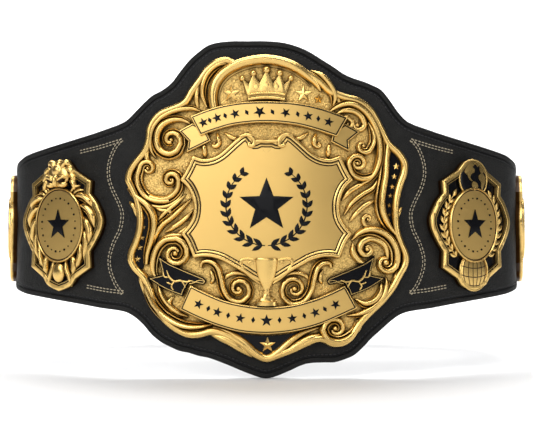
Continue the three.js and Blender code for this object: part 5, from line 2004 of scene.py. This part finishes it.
# Stage: the floor and its reach, lights and camera
FLOOR = -0.125
FLOOR_FRONT = -9.0
FLOOR_BACK = 2.6
FLOOR_WIDTH = 20.0
FLOOR_BEND = 1.0
FLOOR_BEND_STEPS = 8
BACKDROP_HEIGHT = 3.0
FLOOR_WHITE = (0.80, 0.80, 0.80)
LIGHTS = (
    # name, place, aim, size, power in watts
    ("key", (-1.2, -1.6, 1.0), (0, 0, 0), (1.3, 0.9), 17),
    ("fill", (1.6, -1.5, 0.4), (0, 0, 0), (0.4, 1.3), 7),
    ("front", (-0.5, -2.6, 0.5), (0, 0, 0), (1.9, 0.8), 10),
    ("top_back", (0, 0.45, 1.7), (0, -0.05, -0.1), (1.6, 0.6), 25),
    ("top_front", (0, -0.95, 1.6), (0, 0, -0.05), (1.6, 0.5), 17),
    ("backdrop", (0, 0.9, 1.7), (0, 2.4, 0.4), (3.0, 0.8), 90),
)
WORLD_COLOUR = (0.9, 0.92, 1.0)
WORLD_STRENGTH = 0.12
CAMERA_PLACE = (0.0, -0.959, -0.015)
CAMERA_PITCH = 1.8
LENS = 65.8
SENSOR = 36.0


def stage_material(name, colour, roughness):
    material, tree, shader, place = new_finish(name)
    cloud = node(tree, "ShaderNodeTexNoise", {"Vector": place, "Scale": 2.0})
    vary_colour(tree, shader, cloud.outputs[0], shade(colour, 0.99), colour)
    shader.inputs["Roughness"].default_value = roughness
    return material


def area_light(name, place, aim, size, power):
    data = bpy.data.lights.new(name, "AREA")
    data.shape = "RECTANGLE"
    data.size, data.size_y = size
    data.energy = power
    made = bpy.data.objects.new(name, data)
    made.location = place
    made.rotation_euler = (Vector(aim) - Vector(place)).to_track_quat("-Z", "Y").to_euler()
    bpy.context.scene.collection.objects.link(made)


def make_floor():
    """A white floor that curves up behind."""
    bm = bmesh.new()
    bend_start = FLOOR_BACK - FLOOR_BEND
    profile = [Vector((0, FLOOR_FRONT, FLOOR)), Vector((0, bend_start, FLOOR))]
    for k in range(1, FLOOR_BEND_STEPS + 1):
        angle = math.pi / 2 * k / FLOOR_BEND_STEPS
        profile.append(Vector((0, bend_start + FLOOR_BEND * math.sin(angle),
                               FLOOR + FLOOR_BEND * (1 - math.cos(angle)))))
    profile.append(Vector((0, FLOOR_BACK, FLOOR + BACKDROP_HEIGHT)))
    verts = [bm.verts.new(point + Vector((-FLOOR_WIDTH / 2, 0, 0))) for point in profile]
    edges = [bm.edges.new(pair) for pair in zip(verts, verts[1:])]
    swept = bmesh.ops.extrude_edge_only(bm, edges=edges)["geom"]
    moved = [one for one in swept if isinstance(one, bmesh.types.BMVert)]
    bmesh.ops.translate(bm, verts=moved, vec=(FLOOR_WIDTH, 0, 0))
    bmesh.ops.recalc_face_normals(bm, faces=bm.faces)
    mesh = bpy.data.meshes.new("floor")
    bm.to_mesh(mesh)
    bm.free()
    mesh.materials.append(stage_material("white_floor", FLOOR_WHITE, 0.6))
    mesh.shade_smooth()
    floor = bpy.data.objects.new("floor", mesh)
    bpy.context.scene.collection.objects.link(floor)


def make_stage():
    """The floor, soft lights, faint light from all round and the camera."""
    scene = bpy.context.scene
    make_floor()
    for row in LIGHTS:
        area_light(*row)

    world = bpy.data.worlds.new("studio")
    world.use_nodes = True
    background = world.node_tree.nodes["Background"]
    background.inputs["Color"].default_value = opaque(WORLD_COLOUR)
    background.inputs["Strength"].default_value = WORLD_STRENGTH
    scene.world = world
    scene.view_settings.view_transform = "Standard"

    data = bpy.data.cameras.new("camera")
    data.lens = LENS
    data.sensor_width = SENSOR
    camera = bpy.data.objects.new("camera", data)
    camera.location = CAMERA_PLACE
    camera.rotation_euler = (math.radians(90 + CAMERA_PITCH), 0, 0)
    scene.collection.objects.link(camera)
    scene.camera = camera


# Operators

class BELT_OT_stage(bpy.types.Operator):
    """Make the floor, the lights and the camera"""
    bl_idname = "belt.stage"
    bl_label = "Stage"

    def execute(self, context):
        make_stage()
        return {"FINISHED"}


class BELT_OT_strap(bpy.types.Operator):
    """Make the shaped leather strap"""
    bl_idname = "belt.strap"
    bl_label = "Strap"

    def execute(self, context):
        make_strap()
        return {"FINISHED"}


class BELT_OT_stitching(bpy.types.Operator):
    """Sew the edge and the rows on the face"""
    bl_idname = "belt.stitching"
    bl_label = "Stitching"

    def execute(self, context):
        make_stitching()
        return {"FINISHED"}


class BELT_OT_fasteners(bpy.types.Operator):
    """Finish the snaps and screws"""
    bl_idname = "belt.fasteners"
    bl_label = "Snaps and screws"

    def execute(self, context):
        make_fasteners()
        return {"FINISHED"}


class BELT_OT_front_plate(bpy.types.Operator):
    """Make the casting and its rim"""
    bl_idname = "belt.front_plate"
    bl_label = "Front plate"

    def execute(self, context):
        make_front_plate()
        return {"FINISHED"}


class BELT_OT_scrollwork(bpy.types.Operator):
    """Make the scrolls of the front plate"""
    bl_idname = "belt.scrollwork"
    bl_label = "Scrollwork"

    def execute(self, context):
        make_scrollwork()
        return {"FINISHED"}


class BELT_OT_enamel(bpy.types.Operator):
    """Lay the black enamel floors"""
    bl_idname = "belt.enamel"
    bl_label = "Enamel"

    def execute(self, context):
        make_enamel()
        return {"FINISHED"}


class BELT_OT_centre_panel(bpy.types.Operator):
    """Make the framed panel"""
    bl_idname = "belt.centre_panel"
    bl_label = "Centre panel"

    def execute(self, context):
        make_centre_panel()
        return {"FINISHED"}


class BELT_OT_emblem(bpy.types.Operator):
    """Make the star and wreath"""
    bl_idname = "belt.emblem"
    bl_label = "Emblem"

    def execute(self, context):
        make_emblem()
        return {"FINISHED"}


class BELT_OT_ribbons(bpy.types.Operator):
    """Make the ribbons and their tails"""
    bl_idname = "belt.ribbons"
    bl_label = "Ribbons"

    def execute(self, context):
        make_ribbons()
        return {"FINISHED"}


class BELT_OT_ornaments(bpy.types.Operator):
    """Set the ribbons' small ornaments"""
    bl_idname = "belt.ornaments"
    bl_label = "Ornaments"

    def execute(self, context):
        make_ornaments()
        return {"FINISHED"}


class BELT_OT_crown(bpy.types.Operator):
    """Make the crown"""
    bl_idname = "belt.crown"
    bl_label = "Crown"

    def execute(self, context):
        make_crown()
        return {"FINISHED"}


class BELT_OT_cup(bpy.types.Operator):
    """Make the trophy cup"""
    bl_idname = "belt.cup"
    bl_label = "Cup"

    def execute(self, context):
        make_cup()
        return {"FINISHED"}


class BELT_OT_stars(bpy.types.Operator):
    """Make the faceted stars"""
    bl_idname = "belt.stars"
    bl_label = "Stars"

    def execute(self, context):
        make_stars()
        return {"FINISHED"}


class BELT_OT_lion_plate(bpy.types.Operator):
    """Make the left side plate"""
    bl_idname = "belt.lion_plate"
    bl_label = "Lion plate"

    def execute(self, context):
        make_lion_plate()
        return {"FINISHED"}


class BELT_OT_globe_plate(bpy.types.Operator):
    """Make the right side plate"""
    bl_idname = "belt.globe_plate"
    bl_label = "Globe plate"

    def execute(self, context):
        make_globe_plate()
        return {"FINISHED"}


class BELT_OT_outer_plates(bpy.types.Operator):
    """Make the plates at the hips"""
    bl_idname = "belt.outer_plates"
    bl_label = "Hip plates"

    def execute(self, context):
        make_outer_plates()
        return {"FINISHED"}


OPERATORS = (
    BELT_OT_stage,
    BELT_OT_strap,
    BELT_OT_stitching,
    BELT_OT_fasteners,
    BELT_OT_front_plate,
    BELT_OT_scrollwork,
    BELT_OT_enamel,
    BELT_OT_centre_panel,
    BELT_OT_emblem,
    BELT_OT_ribbons,
    BELT_OT_ornaments,
    BELT_OT_crown,
    BELT_OT_cup,
    BELT_OT_stars,
    BELT_OT_lion_plate,
    BELT_OT_globe_plate,
    BELT_OT_outer_plates,
)


class BELT_PT_parts(bpy.types.Panel):
    """Lists the belt's pieces, sizes and colours"""
    bl_label = "Championship Belt"
    bl_idname = "BELT_PT_parts"
    bl_space_type = "VIEW_3D"
    bl_region_type = "UI"
    bl_category = "Belt"

    def draw(self, context):
        for group in (context.scene.belt_sizes, context.scene.belt_colours):
            for name in group.__annotations__:
                self.layout.prop(group, name)
        for one in OPERATORS:
            self.layout.operator(one.bl_idname)


CLASSES = (BeltSizes, BeltColours, *OPERATORS, BELT_PT_parts)


def register():
    for one in CLASSES:
        bpy.utils.register_class(one)
    bpy.types.Scene.belt_sizes = PointerProperty(type=BeltSizes)
    bpy.types.Scene.belt_colours = PointerProperty(type=BeltColours)


def unregister():
    del bpy.types.Scene.belt_colours
    del bpy.types.Scene.belt_sizes
    for one in reversed(CLASSES):
        bpy.utils.unregister_class(one)


def main():
    register()
    for one in OPERATORS:
        getattr(bpy.ops.belt, one.bl_idname.removeprefix("belt."))()


if __name__ == "__main__":
    main()
